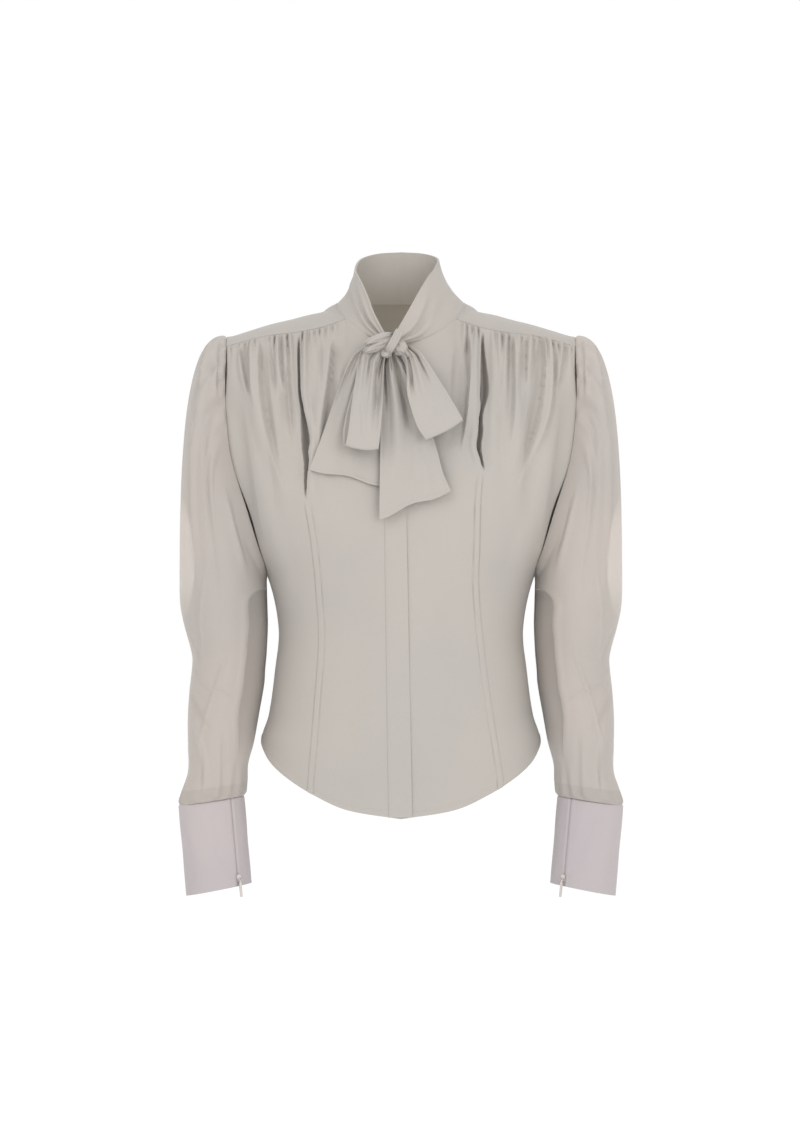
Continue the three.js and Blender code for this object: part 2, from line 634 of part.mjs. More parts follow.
// The armhole as a loop of points, from the shoulder by the front and the underarm to the back.
function armholeLoop() {
  const shoulder = YOKE_ROWS.map(v => yokePoint(1, lerp(YOKE_CLEAR, 1, v)));
  const top = 2;
  const frontEdge = [...FRONT_ROWS, ...FRONT_LOWER].filter(v => v < UNDERARM_V - 0.001)
    .map(v => frontPoint(1, frontZ(1, v)));
  const backEdge = [...BACK_ROWS, ...BACK_LOWER].filter(v => v < BACK_UNDERARM_V - 0.001).map(v => {
    const z = lerp(YOKE_BACK - SEAM, hemZ(1), v);
    const { x, y } = section('back', z, 1);
    return vec(x, y, z);
  });
  const under = vec(read(BODY, 'z', UNDERARM, 'full'), 0, UNDERARM);
  const points = [...shoulder.slice(0, top + 1).reverse(), ...frontEdge.slice(1), under,
    ...backEdge.reverse(), ...shoulder.slice(top + 1, -1).reverse()];
  const place = [0];
  for (let i = 1; i <= points.length; i += 1) {
    place.push(place[i - 1] + points[i % points.length].distanceTo(points[i - 1]));
  }
  const underAt = points.indexOf(under);
  const total = place[points.length];
  // The underarm is halfway round, whatever the two halves measure.
  const w = place.slice(0, -1).map((d, i) => (i <= underAt
    ? 0.5 * d / place[underAt]
    : 0.5 + 0.5 * (d - place[underAt]) / (total - place[underAt])));
  return points.map((point, i) => ({ w: w[i], point }));
}
const ARMHOLE_LOOP = armholeLoop();

function armholeAt(w) {
  const at = w - Math.floor(w);
  const n = ARMHOLE_LOOP.length;
  let i = n - 1;
  while (ARMHOLE_LOOP[i].w > at) i -= 1;
  const next = ARMHOLE_LOOP[(i + 1) % n];
  const until = i === n - 1 ? 1 : next.w;
  const here = ARMHOLE_LOOP[i];
  return here.point.clone().lerp(next.point, (at - here.w) / (until - here.w));
}

// A ring of the sleeve below the underarm; w is 0 at its outer side and a quarter round at the front.
function sleeveRing(z, w) {
  const [outer, inner] = [read(SLEEVE, 'z', z, 'outer'), read(SLEEVE, 'z', z, 'inner')];
  const out = Math.cos(2 * Math.PI * w);
  const x = (outer + inner) / 2 + out * (outer - inner) / 2;
  const y = read(SLEEVE, 'z', z, 'y') - read(SLEEVE, 'z', z, 'depth') * Math.sin(2 * Math.PI * w);
  return vec(x, y, z + out * read(SLEEVE, 'z', z, 'slant') / 2);
}

const HEAD_END = 0.4; // the share of the sleeve's rows above the underarm ring
const SLEEVE_ROWS = {
  head: [0.02, 0.06, 0.12, 0.18],
  arm: [0.25, 0.32, 0.4, 0.48, 0.56, 0.63, 0.7, 0.77, 0.84, 0.9, 0.94, 0.97, 1],
};
const SLEEVE_COLUMNS = { even: 24, under: 13, below: [0.21, 0.77], clear: 0.003 };
const [SLEEVE_TOP, SLEEVE_END] = [SLEEVE[0].z, SLEEVE[SLEEVE.length - 1].z];

function sleevePoint(w, v) {
  if (v >= HEAD_END) return sleeveRing(lerp(SLEEVE_TOP, SLEEVE_END, (v - HEAD_END) / (1 - HEAD_END)), w);
  const turn = w - Math.floor(w);
  const at = Math.min(turn, 1 - turn);
  const leave = readPoint(SLEEVE_HEAD, 'w', at);
  if (turn > 0.5) leave.y *= -1;
  leave.normalize();
  const start = armholeAt(w).addScaledVector(leave, SEAM + SLEEVE_CLEAR);
  const end = sleeveRing(SLEEVE_TOP, w);
  const second = start.clone().addScaledVector(leave, read(SLEEVE_HEAD, 'w', at, 'length'));
  const third = end.clone().add(vec(0, 0, read(SLEEVE_HEAD, 'w', at, 'drop')));
  return bezier(v / HEAD_END, start, second, third, end);
}

function sleeve(side) {
  const surface = (w, v) => mirrored(sleevePoint(w, v), side);
  const relief = (w, v) => {
    const turn = w - Math.floor(w);
    const near = turn > 0.5 ? turn - 1 : turn;
    const half = HEAD_GATHER.half * (1 + v / HEAD_GATHER.spread);
    const heights = HEAD_GATHERS.map(g => g.height * fade(v, g.run) * bump((near - g.w) / half));
    const head = heights.reduce((sum, height) => sum + height, 0) * smoothstep(v, 0, HEAD_GATHER.starts);
    const low = CUFF_GATHERS.height * fade(1 - v, CUFF_GATHERS.run) * smoothstep(1 - v, 0, CUFF_GATHERS.ends);
    return head + low * Math.cos(2 * Math.PI * CUFF_GATHERS.count * w);
  };
  const loop = ARMHOLE_LOOP.map(p => p.w);
  const peaks = HEAD_GATHERS.flatMap((g, i) => {
    const next = HEAD_GATHERS[i + 1];
    return next ? [g.w, (g.w + next.w) / 2] : [g.w];
  }).map(w => w - Math.floor(w));
  const apart = peaks.filter(w => loop.every(other => Math.abs(w - other) > SLEEVE_COLUMNS.clear));
  const first = [...loop, ...apart].sort((a, b) => a - b);
  const few = [...peaks, ...evenly(...SLEEVE_COLUMNS.below, SLEEVE_COLUMNS.under)].sort((a, b) => a - b);
  const even = evenly(0, 1, SLEEVE_COLUMNS.even).slice(0, -1);
  const rows = [
    [0, first],
    ...SLEEVE_ROWS.head.map(v => [v, few]),
    ...SLEEVE_ROWS.arm.map(v => [v, even]),
  ];
  return wall(rows.map(([v, columns]) => columns
    .map(w => skin(surface, relief, CLOTH, side, w, v, [-1, 2]))), true);
}

// The cuff runs from one side of the zip all round to the other.
function cuffPoint(w, v) {
  const value = name => lerp(CUFF[0][name], CUFF[1][name], v);
  const out = Math.cos(2 * Math.PI * w);
  const x = (value('outer') + value('inner')) / 2 + out * (value('outer') - value('inner')) / 2;
  const y = value('y') - value('depth') * Math.sin(2 * Math.PI * w);
  return vec(x, y, (value('outerZ') + value('innerZ')) / 2 + out * (value('outerZ') - value('innerZ')) / 2);
}

function cuff(side) {
  const around = 2 * Math.PI * (CUFF[0].outer - CUFF[0].inner) / 2;
  const open = ZIP.gap / around / 2;
  const span = [ZIP.w + open, ZIP.w + 1 - open];
  const surface = (w, v) => mirrored(cuffPoint(w, v), side);
  return wall([0, 0.5, 1].map(v => evenly(...span, 26)
    .map(w => skin(surface, () => 0, DOUBLE, side, w, v, span))));
}

// Solids that are joined from simpler ones

function solid(geometry) {
  const bare = geometry.clone();
  bare.deleteAttribute('normal');
  bare.deleteAttribute('uv');
  const merged = mergeVertices(bare, 1e-4);
  const vertProperties = new Float32Array(merged.attributes.position.array);
  const triVerts = new Uint32Array(merged.index.array);
  return new wasm.Manifold(new wasm.Mesh({ numProp: 3, vertProperties, triVerts }));
}

function geometryOf(manifold) {
  const mesh = manifold.getMesh();
  const geometry = new THREE.BufferGeometry();
  geometry.setAttribute('position', new THREE.Float32BufferAttribute(mesh.vertProperties, 3));
  geometry.setIndex([...mesh.triVerts]);
  return geometry;
}

const CURVE_STEPS = 5;
const plate = (outline, thick) => new THREE.ExtrudeGeometry(outline, {
  depth: thick,
  bevelEnabled: false,
  curveSegments: CURVE_STEPS,
});
const rod = (radius, length) => new THREE.CylinderGeometry(radius, radius, length, PIN.sides)
  .rotateZ(Math.PI / 2);
const block = (x0, x1, y0, y1, z0, z1) => new THREE.BoxGeometry(x1 - x0, y1 - y0, z1 - z0)
  .translate((x0 + x1) / 2, (y0 + y1) / 2, (z0 + z1) / 2);

// Local directions of the zip: X across, Y down along it, Z away from the cuff.
function slider() {
  const outline = new THREE.Shape();
  const { half, top, bottom, round } = SLIDER;
  outline.moveTo(-half, top + round);
  outline.absarc(-half + round, top + round, round, Math.PI, 1.5 * Math.PI);
  outline.absarc(half - round, top + round, round, 1.5 * Math.PI, 2 * Math.PI);
  outline.lineTo(SLIDER.nose, bottom);
  outline.lineTo(-SLIDER.nose, bottom);
  outline.closePath();
  let body = solid(plate(outline, SLIDER.thick).translate(0, 0, SLIDER.clear));
  const floor = SLIDER.clear + SLIDER.thick - LUG.sunk;
  const [near, far] = [PIN.along - LUG.reach, PIN.along + LUG.reach];
  for (const [from, to] of [[-LUG.outer, -LUG.inner], [LUG.inner, LUG.outer]]) {
    body = body.add(solid(block(from, to, near, far, floor, PIN.away + LUG.over)));
  }
  return geometryOf(body.add(solid(rod(PIN.radius, 2 * PIN.half).translate(0, PIN.along, PIN.away))));
}

// The tab is built about its pin, so its own origin is the hinge.
function tab() {
  const outline = new THREE.Shape();
  const { from, half, wide, neck, blade, length } = TAB;
  outline.moveTo(-half, from);
  outline.lineTo(-half, neck);
  outline.lineTo(-wide, blade);
  outline.lineTo(-wide, length - wide);
  outline.absarc(0, length - wide, wide, Math.PI, 0, true);
  outline.lineTo(wide, blade);
  outline.lineTo(half, neck);
  outline.lineTo(half, from);
  outline.closePath();
  const eye = solid(rod(TAB.eye, 2 * half)).subtract(solid(rod(TAB.hole, 4 * half)));
  return geometryOf(eye.add(solid(plate(outline, TAB.thick).translate(0, 0, -TAB.thick / 2))));
}

// Places a zip part on the cuff: its Y runs down the zip and its Z away from the cuff.
function onZip(mesh, side, down, away) {
  const here = mirrored(cuffPoint(ZIP.w, SLIDER.v), side);
  const along = mirrored(cuffPoint(ZIP.w, SLIDER.v + ZIP.step), side).sub(here).normalize();
  const round = mirrored(cuffPoint(ZIP.w + ZIP.step, SLIDER.v), side).sub(here);
  const normal = round.cross(along).normalize().multiplyScalar(side);
  const across = along.clone().cross(normal).normalize();
  mesh.quaternion.setFromRotationMatrix(new THREE.Matrix4().makeBasis(across, along, normal));
  mesh.position.copy(here).addScaledVector(along, down).addScaledVector(normal, away);
  return mesh;
}

// The bow

function chestY(x, z) {
  const low = Math.min(z, CHEST_TOP);
  return frontPoint(uOfX(x, low), low).y;
}

// A strip of the tie between its two edges, with soft lengthwise folds that start at the knot.
function tie(rows, steps, folds, isLoop) {
  const value = (t, name) => read(rows, 't', t, name);
  const surface = (s, t) => {
    const x = lerp(value(t, 'leftX'), value(t, 'rightX'), s);
    const z = lerp(value(t, 'leftZ'), value(t, 'rightZ'), s);
    const end = isLoop ? Math.min(t, 1 - t) : t;
    return towardsKnot(vec(x, chestY(x, z) - value(t, 'off'), z), 1 - smoothstep(end, 0, TIE.drawn));
  };
  const relief = (s, t) => {
    const near = 1 - smoothstep(isLoop ? Math.min(t, 1 - t) : t, TIE.foldsFrom, TIE.foldsTo);
    return folds * near * Math.cos(TIE.folds * Math.PI * s);
  };
  return wall(evenly(0, 1, steps).map(t => evenly(0, 1, TIE.across)
    .map(s => skin(surface, relief, TIE.wall, -1, s, t))));
}

// The knot: a rounded lump with the band wrapped slantwise over it.
function knot() {
  const ball = new THREE.SphereGeometry(1, 18, 12);
  const position = ball.attributes.position;
  const band = vec(Math.cos(BAND.slant), 0, Math.sin(BAND.slant));
  for (let i = 0; i < position.count; i += 1) {
    const p = vec(0, 0, 0).fromBufferAttribute(position, i);
    const off = p.dot(band);
    const wrapped = 1 + BAND.height * bump(off / BAND.half) + BAND.ripple * Math.cos(BAND.ripples * off);
    p.multiply(vec(KNOT.wide, KNOT.high, KNOT.deep)).multiplyScalar(wrapped);
    position.setXYZ(i, p.x, -p.z, p.y);
  }
  return geometryOf(solid(ball)).translate(KNOT.x, KNOT.y, KNOT.z);
}

// Materials and assembly

const GEORGETTE = new THREE.MeshStandardMaterial({ color: 0xc2bbb3, roughness: 0.85 });
const CHIFFON = new THREE.MeshStandardMaterial({ color: 0xcbc4be, roughness: 0.8 });
const SATIN = new THREE.MeshStandardMaterial({ color: 0xc8c0be, roughness: 0.6 });
const METAL = new THREE.MeshStandardMaterial({ color: 0xb9b4ae, roughness: 0.35, metalness: 0.8 });

const blouse = new THREE.Group();
function add(name, geometry, material) {
  const mesh = new THREE.Mesh(geometry, material);
  mesh.name = name;
  blouse.add(mesh);
  return mesh;
}

add('yoke', yoke(), GEORGETTE);
add('collar', collar(), GEORGETTE);
add('back', back(), GEORGETTE);
add('placket', placket(), GEORGETTE);
add('tie_knot', knot(), GEORGETTE);
for (const [name, side] of [['right', -1], ['left', 1]]) {
  add(`front_${name}`, front(name), GEORGETTE);
  add(`sleeve_${name}`, sleeve(side), CHIFFON);
  add(`cuff_${name}`, cuff(side), SATIN);
  add(`tie_tail_${name}`, tie(TAILS[name], 10, 1.6, false), GEORGETTE);
  add(`tie_loop_${name}`, tie(LOOPS[name], 18, 1.2, true), GEORGETTE);
  onZip(add(`zip_slider_${name}`, slider(), METAL), side, 0, 0);
  onZip(add(`zip_tab_${name}`, tab(), METAL), side, PIN.along, PIN.away);
}

export default blouse;
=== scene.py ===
# A blouse with a pussy bow, a gathered yoke, puffed sheer sleeves and zipped cuffs, filled out as when worn.
import math

import bpy
import numpy as np
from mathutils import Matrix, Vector


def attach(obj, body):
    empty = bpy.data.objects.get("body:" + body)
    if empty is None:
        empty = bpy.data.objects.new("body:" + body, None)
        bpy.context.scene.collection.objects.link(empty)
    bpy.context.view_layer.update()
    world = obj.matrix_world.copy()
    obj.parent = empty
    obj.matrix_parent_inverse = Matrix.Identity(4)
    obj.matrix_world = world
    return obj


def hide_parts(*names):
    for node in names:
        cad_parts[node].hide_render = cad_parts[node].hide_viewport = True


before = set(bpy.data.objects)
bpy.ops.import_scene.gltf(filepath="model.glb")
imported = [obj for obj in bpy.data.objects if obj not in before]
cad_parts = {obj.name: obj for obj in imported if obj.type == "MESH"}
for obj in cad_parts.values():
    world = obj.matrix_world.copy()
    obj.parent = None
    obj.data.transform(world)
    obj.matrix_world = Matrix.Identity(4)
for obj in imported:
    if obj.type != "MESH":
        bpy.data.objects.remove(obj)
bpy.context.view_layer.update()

mm = 0.001  # the tables below are in millimetres, the finished meshes in metres
sides = {"right": -1, "left": 1}  # the wearer's sides, and which way each lies along X

# Tables and curves


def table(names, *rows):
    return dict(zip(names.split(), np.array(rows, float).T))


def hermite(t, a, slopeA, b, slopeB):
    return ((2 * t**3 - 3 * t**2 + 1) * a + (t**3 - 2 * t**2 + t) * slopeA
            + (3 * t**2 - 2 * t**3) * b + (t**3 - t**2) * slopeB)


def read(rows, at, name):
    # a column of a table at any place along its first column, on a smooth curve through the rows
    k, v = next(iter(rows.values())), rows[name]
    if k[-1] < k[0]:
        k, v = k[::-1], v[::-1]
    before = np.maximum(np.arange(len(k)) - 1, 0)
    after = np.minimum(np.arange(len(k)) + 1, len(k) - 1)
    slope = (v[after] - v[before]) / (k[after] - k[before])
    at = np.clip(np.asarray(at, float), k[0], k[-1])
    i = np.clip(np.searchsorted(k, at, side="right") - 1, 0, len(k) - 2)
    span = k[i + 1] - k[i]
    return hermite((at - k[i]) / span, v[i], slope[i] * span, v[i + 1], slope[i + 1] * span)


def smooth(at, low, high):
    t = np.clip((at - low) / (high - low), 0, 1)
    return t * t * (3 - 2 * t)


def mix(a, b, t):
    return a + (b - a) * t


def hill(q):  # a rounded ridge, 1 at its crest and 0 from q = 1 on
    return np.where(np.abs(q) < 1, (1 - q * q) ** 2, 0)


def nick(q):  # a sharp-bottomed valley
    return np.clip(1 - np.abs(q), 0, 1) ** 1.8


def fade(along, run):  # how much is left of a gather after it has run this far
    return np.clip(1 - along / run, 0, 1) ** 1.3


def xyz(x, y, z):
    return np.stack(np.broadcast_arrays(x, y, z), -1).astype(float)


def place(rows, at):
    return xyz(*(read(rows, at, name) for name in ("x", "y", "z")))


def bezier(t, a, b, c, d):
    t = np.asarray(t)[..., None]
    return (1 - t) ** 3 * a + 3 * t * (1 - t) ** 2 * b + 3 * t * t * (1 - t) * c + t**3 * d


def solve(rising, value, low, high):  # where a rising function reaches a value
    low, high = np.full(np.shape(value), float(low)), np.full(np.shape(value), float(high))
    for _ in range(26):
        middle = (low + high) / 2
        under = rising(middle) < value
        low, high = np.where(under, middle, low), np.where(under, high, middle)
    return (low + high) / 2


def stations(*stretches):  # evenly spaced places in each stretch, given as from, to and how many steps
    parts = [np.linspace(start, end, steps + 1)[:-1] for start, end, steps in stretches]
    return np.append(np.concatenate(parts), stretches[-1][1])


def wander(at, seed, waves=4):  # a slow uneven curve between about -1 and 1
    draw = np.random.default_rng(seed)
    total = 0
    for k in range(1, waves + 1):
        total = total + draw.normal() * np.sin(2 * math.pi * (k * np.asarray(at) + draw.random())) / k
    return total / 1.6


# Materials

hues = {  # linear colours of the cloth and the metal
    "georgette": (0.411, 0.383, 0.352),
    "chiffon": (0.453, 0.415, 0.382),
    "satin": (0.430, 0.389, 0.394),
    "metal": (0.60, 0.56, 0.54),
}


def setInputs(node, values):
    for entry, value in values.items():
        if isinstance(value, tuple) and isinstance(value[0], bpy.types.Node):  # the output of another node
            node.id_data.links.new(value[0].outputs[value[1]], node.inputs[entry])
        else:
            node.inputs[entry].default_value = value


def newMaterial(name, hue, roughness, values):
    material = bpy.data.materials.new(name)
    material.use_nodes = True
    shader = material.node_tree.nodes["Principled BSDF"]
    shader.inputs["Base Color"].default_value = (*hue, 1)
    shader.inputs["Roughness"].default_value = roughness
    setInputs(shader, values)
    return material, shader


def addNode(shader, kind, values, **settings):  # a node in the same tree as the shader
    node = shader.id_data.nodes.new("ShaderNode" + kind)
    for name, value in settings.items():
        setattr(node, name, value)
    setInputs(node, values)
    return node


def clothMaterial(name, hue, weave, grain, sheer=None):
    # crepe: crossed threads on the piece's own UV map, a pebbled grain, slow changes of tone, a soft sheen
    material, shader = newMaterial(name, hue, 0.82, {
        "Specular IOR Level": 0.25,
        "Sheen Weight": 0.18, "Sheen Roughness": 0.45, "Sheen Tint": (1, 0.97, 0.95, 1)})
    spot = (addNode(shader, "TexCoord", {}), "Object")
    cut = (addNode(shader, "UVMap", {}, uv_map="cut"), "UV")
    uneven = {"Vector": cut, "Scale": weave, "Distortion": 1.2, "Detail": 2, "Detail Scale": 0.4}
    threads = [addNode(shader, "TexWave", uneven, bands_direction=way) for way in ("X", "Y")]
    crossed = addNode(shader, "Math", {0: (threads[0], "Fac"), 1: (threads[1], "Fac")}, operation="MULTIPLY")
    pebbles = addNode(shader, "TexNoise", {"Vector": spot, "Scale": grain, "Detail": 3})
    height = addNode(shader, "Math", {0: (crossed, 0), 1: 0.6, 2: (pebbles, "Fac")}, operation="MULTIPLY_ADD")

    rumples = addNode(shader, "TexNoise", {"Vector": spot, "Scale": 26, "Detail": 4, "Distortion": 0.6})
    softBump = addNode(shader, "Bump", {"Height": (rumples, "Fac"), "Distance": 0.0012, "Strength": 0.35})
    fineBump = addNode(shader, "Bump", {
        "Height": (height, 0), "Normal": (softBump, "Normal"), "Distance": 0.00025, "Strength": 0.55})
    setInputs(shader, {"Normal": (fineBump, "Normal")})

    clouds = addNode(shader, "TexNoise", {"Vector": spot, "Scale": 7, "Detail": 2})
    tone = addNode(shader, "ValToRGB", {"Fac": (clouds, "Fac")})
    for stop, at, shades in ((0, 0.3, (0.955, 0.965, 0.975)), (1, 0.72, (1.035, 1.02, 1.01))):
        tone.color_ramp.elements[stop].position = at
        tone.color_ramp.elements[stop].color = (*(part * shade for part, shade in zip(hue, shades)), 1)
    speckle = addNode(shader, "MapRange", {
        "Value": (height, 0), "From Max": 1.4, "To Min": 0.93, "To Max": 1.06})
    tint = addNode(shader, "VectorMath", {0: (tone, "Color"), "Scale": (speckle, "Result")},
                   operation="SCALE")
    setInputs(shader, {"Base Color": (tint, "Vector")})

    if sheer:  # the mesh's own attribute "dense" is 1 where the cloth is doubled and 0 where it is thinnest
        # the same attribute sets how much of the cloth shows through and carries painted light and shade in
        # its colour
        densityAndPaintedLight = (addNode(shader, "Attribute", {}, attribute_name="densityAndPaintedLight"), "Fac")
        cover = addNode(shader, "MapRange", {"Value": densityAndPaintedLight, "To Min": sheer[0], "To Max": sheer[1]})
        # painted light and shade: the colour is made up to 1.5 times lighter where the cloth is thinnest,
        # standing in for light shining through it, and darker, down to 0.88, where it is doubled, as painted
        # shade
        shade = addNode(shader, "MapRange", {"Value": densityAndPaintedLight, "To Min": 1.5, "To Max": 0.88})
        doubled = addNode(shader, "VectorMath", {0: (tint, "Vector"), "Scale": (shade, "Result")},
                          operation="SCALE")
        setInputs(shader, {"Alpha": (cover, "Result"), "Base Color": (doubled, "Vector")})
    return material


def metalMaterial(name, hue):
    material, shader = newMaterial(name, hue, 0.34, {"Metallic": 0.75})
    spot = (addNode(shader, "TexCoord", {}), "Object")
    scuffs = addNode(shader, "TexNoise", {"Vector": spot, "Scale": 900, "Detail": 3})
    polish = addNode(shader, "MapRange", {"Value": (scuffs, "Fac"), "To Min": 0.26, "To Max": 0.46})
    setInputs(shader, {"Roughness": (polish, "Result")})
    return material


georgette = clothMaterial("georgette crepe", hues["georgette"], 330, 900)
chiffon = clothMaterial("sheer chiffon", hues["chiffon"], 360, 1000, sheer=(0.74, 0.97))
satin = clothMaterial("doubled cuff cloth", hues["satin"], 420, 1100)
zipMetal = metalMaterial("lacquered zip metal", hues["metal"])
print("materials ready")

# Thin shells of cloth


def unit(vectors):
    return vectors / np.maximum(np.linalg.norm(vectors, axis=-1, keepdims=True), 1e-9)


def gridNormals(grid, facing, closed):
    if closed:
        across = np.roll(grid, -1, 1) - np.roll(grid, 1, 1)
    else:
        across = np.gradient(grid, axis=1)
    return unit(np.cross(across, np.gradient(grid, axis=0))) * facing


def walkedAlong(grid, axis):
    steps = np.linalg.norm(np.diff(grid, axis=axis), axis=-1)
    return np.insert(np.cumsum(steps, axis), 0, 0, axis)


def meshObject(name, points, faces, material, uv):
    mesh = bpy.data.meshes.new(name)
    mesh.from_pydata(points.tolist(), [], faces)
    corners = np.zeros(len(mesh.loops), np.int32)
    mesh.loops.foreach_get("vertex_index", corners)
    mesh.uv_layers.new(name="cut").data.foreach_set("uv", uv[corners].astype(np.float32).ravel())
    mesh.materials.append(material)
    mesh.shade_smooth()
    mesh.set_sharp_from_angle(angle=math.radians(65))
    piece = bpy.data.objects.new(name, mesh)
    bpy.context.scene.collection.objects.link(piece)
    return piece


def shell(name, plain, relief, thick, facing, material, closed=False, densityAndPaintedLight=None):
    # a wall of cloth on a grid of points: folds move the outer side, and the inner side follows it
    out = gridNormals(plain, facing, closed)
    outer = plain + out * relief[..., None]
    inner = outer - out * thick
    rows, columns = plain.shape[:2]
    number = np.arange(rows * columns).reshape(rows, columns)
    right = np.roll(number, -1, 1) if closed else number
    a, b = (number, right) if closed else (number[:, :-1], number[:, 1:])
    front = np.stack([a[:-1], a[1:], b[1:], b[:-1]], -1).reshape(-1, 4)
    behind = front[:, ::-1] + rows * columns
    rims = [(a[0], b[0]), (b[-1], a[-1])]
    if not closed:
        rims += [(number[1:, 0], number[:-1, 0]), (number[:-1, -1], number[1:, -1])]
    edge = [np.stack([p, q, q + rows * columns, p + rows * columns], -1) for p, q in rims]
    faces = np.concatenate([front, behind, *edge])
    points = np.concatenate([outer.reshape(-1, 3), inner.reshape(-1, 3)]) * mm
    corners = points[faces]
    volume = sum((np.cross(corners[:, k], corners[:, k + 1]) * corners[:, 0]).sum() for k in (1, 2))
    if volume < 0:  # the walls look inwards
        faces = faces[:, ::-1]
    uv = np.stack([walkedAlong(plain, 1), walkedAlong(plain, 0)], -1).reshape(-1, 2) * mm
    piece = meshObject(name, points, faces.tolist(), material, np.concatenate([uv, uv]))
    if densityAndPaintedLight is not None:
        values = np.concatenate([densityAndPaintedLight.ravel(), densityAndPaintedLight.ravel()]).astype(np.float32)
        piece.data.attributes.new("densityAndPaintedLight", "FLOAT", "POINT").data.foreach_set("value", values)
    return piece


def sewOn(piece, node):
    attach(piece, "garment")
    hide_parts(node)
    cloth = sum(face.area for face in piece.data.polygons) / 2
    print(piece.name, "made,", len(piece.data.polygons), "faces,", round(cloth, 4), "square metres of cloth")


# The body: sections, neckline, yoke seam and hem

bodySizes = {
    "underarm": -296, "yokeBack": -92, "shoulderJoin": -120, "square": 0.9, "sideDegrees": 89.8,
    "bustX": 84, "bustZ": -180, "bustHigh": 7, "bustWide": 48, "bustTall": 62,
    "cornerAt": 0.38, "cornerU": 0.29, "cornerW": 0.45, "cloth": 0.8, "doubled": 1.3,
}
bodyRows = table("z full front back",
    (-40, 222, -84, 84), (-80, 223, -96, 97), (-120, 221, -105, 102), (-166, 212, -111, 103),
    (-227, 187, -113, 101), (-262, 170, -111, 97), (-296, 149.5, -108, 93), (-354, 137, -101, 87),
    (-401, 141, -103, 92), (-451, 148, -108, 100), (-477, 156, -111, 104), (-563, 161, -115, 108))
armholeRows = table("z degrees",
    (-40, 60), (-120, 60), (-166, 61.2), (-227, 64), (-262, 68.5), (-282, 75), (-291, 81.5), (-296, 89.8))
neckRows = table("at x y z",  # from the centre front to the centre back
    (0, 0, -80, -42), (0.2, 38, -68, -28), (0.38, 62, -42, -10), (0.55, 72, -8, 8), (0.72, 62, 28, 10),
    (0.87, 36, 50, 11), (1, 0, 58, 11))
yokeSeamRows = table("u x y z",  # from the neckline to the armhole
    (0.29, 62, -42, -10), (0.4, 85, -43, -18), (0.55, 113, -43, -24), (0.75, 152, -42, -29),
    (1, 194, -40, -40))
leanRows = table("u lean", (0, 0.35), (0.16, 0.5), (0.29, 0.75), (0.5, 0.8), (0.75, 0.75), (1, 0.6))
hemRows = table("u z",
    (0, -563), (0.28, -553), (0.47, -536), (0.63, -519), (0.77, -503), (0.88, -489), (1, -478))


def section(face, z, u):
    # a point of the body's front or back half; u is 0 on the centre line and 1 at the armhole or side seam
    z, u = np.broadcast_arrays(np.asarray(z, float), np.asarray(u, float))
    full, centre = read(bodyRows, z, "full"), read(bodyRows, z, face)
    degrees = np.where(z <= bodySizes["underarm"], bodySizes["sideDegrees"], read(armholeRows, z, "degrees"))
    angle = np.radians(degrees)[..., None] * np.linspace(0, 1, 129)
    x = full[..., None] * np.sin(angle) ** bodySizes["square"]
    y = centre[..., None] * np.cos(angle)
    steps = np.hypot(np.diff(x), np.diff(y))
    walked = np.concatenate([np.zeros_like(steps[..., :1]), np.cumsum(steps, -1)], -1)
    want = np.minimum(np.abs(u), 1) * walked[..., -1]
    i = np.clip((walked < want[..., None]).sum(-1), 1, walked.shape[-1] - 1)[..., None]
    at = lambda values, k: np.take_along_axis(values, k, -1)[..., 0]
    t = (want - at(walked, i - 1)) / (at(walked, i) - at(walked, i - 1))
    x, y = mix(at(x, i - 1), at(x, i), t), mix(at(y, i - 1), at(y, i), t)
    if face == "front":
        b = bodySizes
        across, down = (x - b["bustX"]) / b["bustWide"], (z - b["bustZ"]) / b["bustTall"]
        y = y - b["bustHigh"] * np.exp(-(across**2) - down**2)
    return xyz(x * np.where(u < 0, -1, 1), y, z)


def mirrored(points, side):
    return points * np.stack(np.broadcast_arrays(side, 1, 1), -1)


def neckAt(at):
    return place(neckRows, at)


def seamAt(u):
    a = np.abs(u)
    onNeck = neckAt(bodySizes["cornerAt"] * a / bodySizes["cornerU"])
    point = np.where((a < bodySizes["cornerU"])[..., None], onNeck, place(yokeSeamRows, a))
    return mirrored(point, np.where(np.asarray(u) < 0, -1, 1))


def frontPoint(u, z):
    # the plain front on the wearer's left; the right one is its mirror image
    u, z = np.broadcast_arrays(np.asarray(u, float), np.asarray(z, float))
    join = bodySizes["shoulderJoin"]
    top, end, below = seamAt(u), section("front", join, u), section("front", join - 10, u)
    fall = top[..., 2] - join
    t = np.clip((top[..., 2] - z) / fall, 0, 1)
    slope = (below - end) * fall[..., None] / 10
    lean = read(leanRows, np.abs(u), "lean")
    x = hermite(t, top[..., 0], 0, end[..., 0], slope[..., 0])
    y = hermite(t, top[..., 1], -lean * fall, end[..., 1], slope[..., 1])
    return np.where((z <= join)[..., None], section("front", z, u), xyz(x, y, z))


def hemZ(u):
    return read(hemRows, np.abs(u), "z")


def frontZ(u, v):
    return mix(seamAt(u)[..., 2], hemZ(u), v)


def uOfX(x, z):
    return solve(lambda u: frontPoint(u, z)[..., 0], x, -1, 1)


chestX, chestZ = np.linspace(-130, 130, 131), np.linspace(-250, -44, 83)
chestDepth = frontPoint(uOfX(chestX[None, :] + 0 * chestZ[:, None], chestZ[:, None] + 0 * chestX[None, :]),
                        chestZ[:, None])[..., 1]


def chestY(x, z):
    # how far forward the chest is, looked up on its grid of places
    column = (np.clip(x, chestX[0], chestX[-1]) - chestX[0]) / (chestX[1] - chestX[0])
    row = (np.clip(z, chestZ[0], chestZ[-1]) - chestZ[0]) / (chestZ[1] - chestZ[0])
    i, j = np.minimum(row.astype(int), len(chestZ) - 2), np.minimum(column.astype(int), len(chestX) - 2)
    upper = mix(chestDepth[i, j], chestDepth[i, j + 1], column - j)
    lower = mix(chestDepth[i + 1, j], chestDepth[i + 1, j + 1], column - j)
    return mix(upper, lower, row - i)


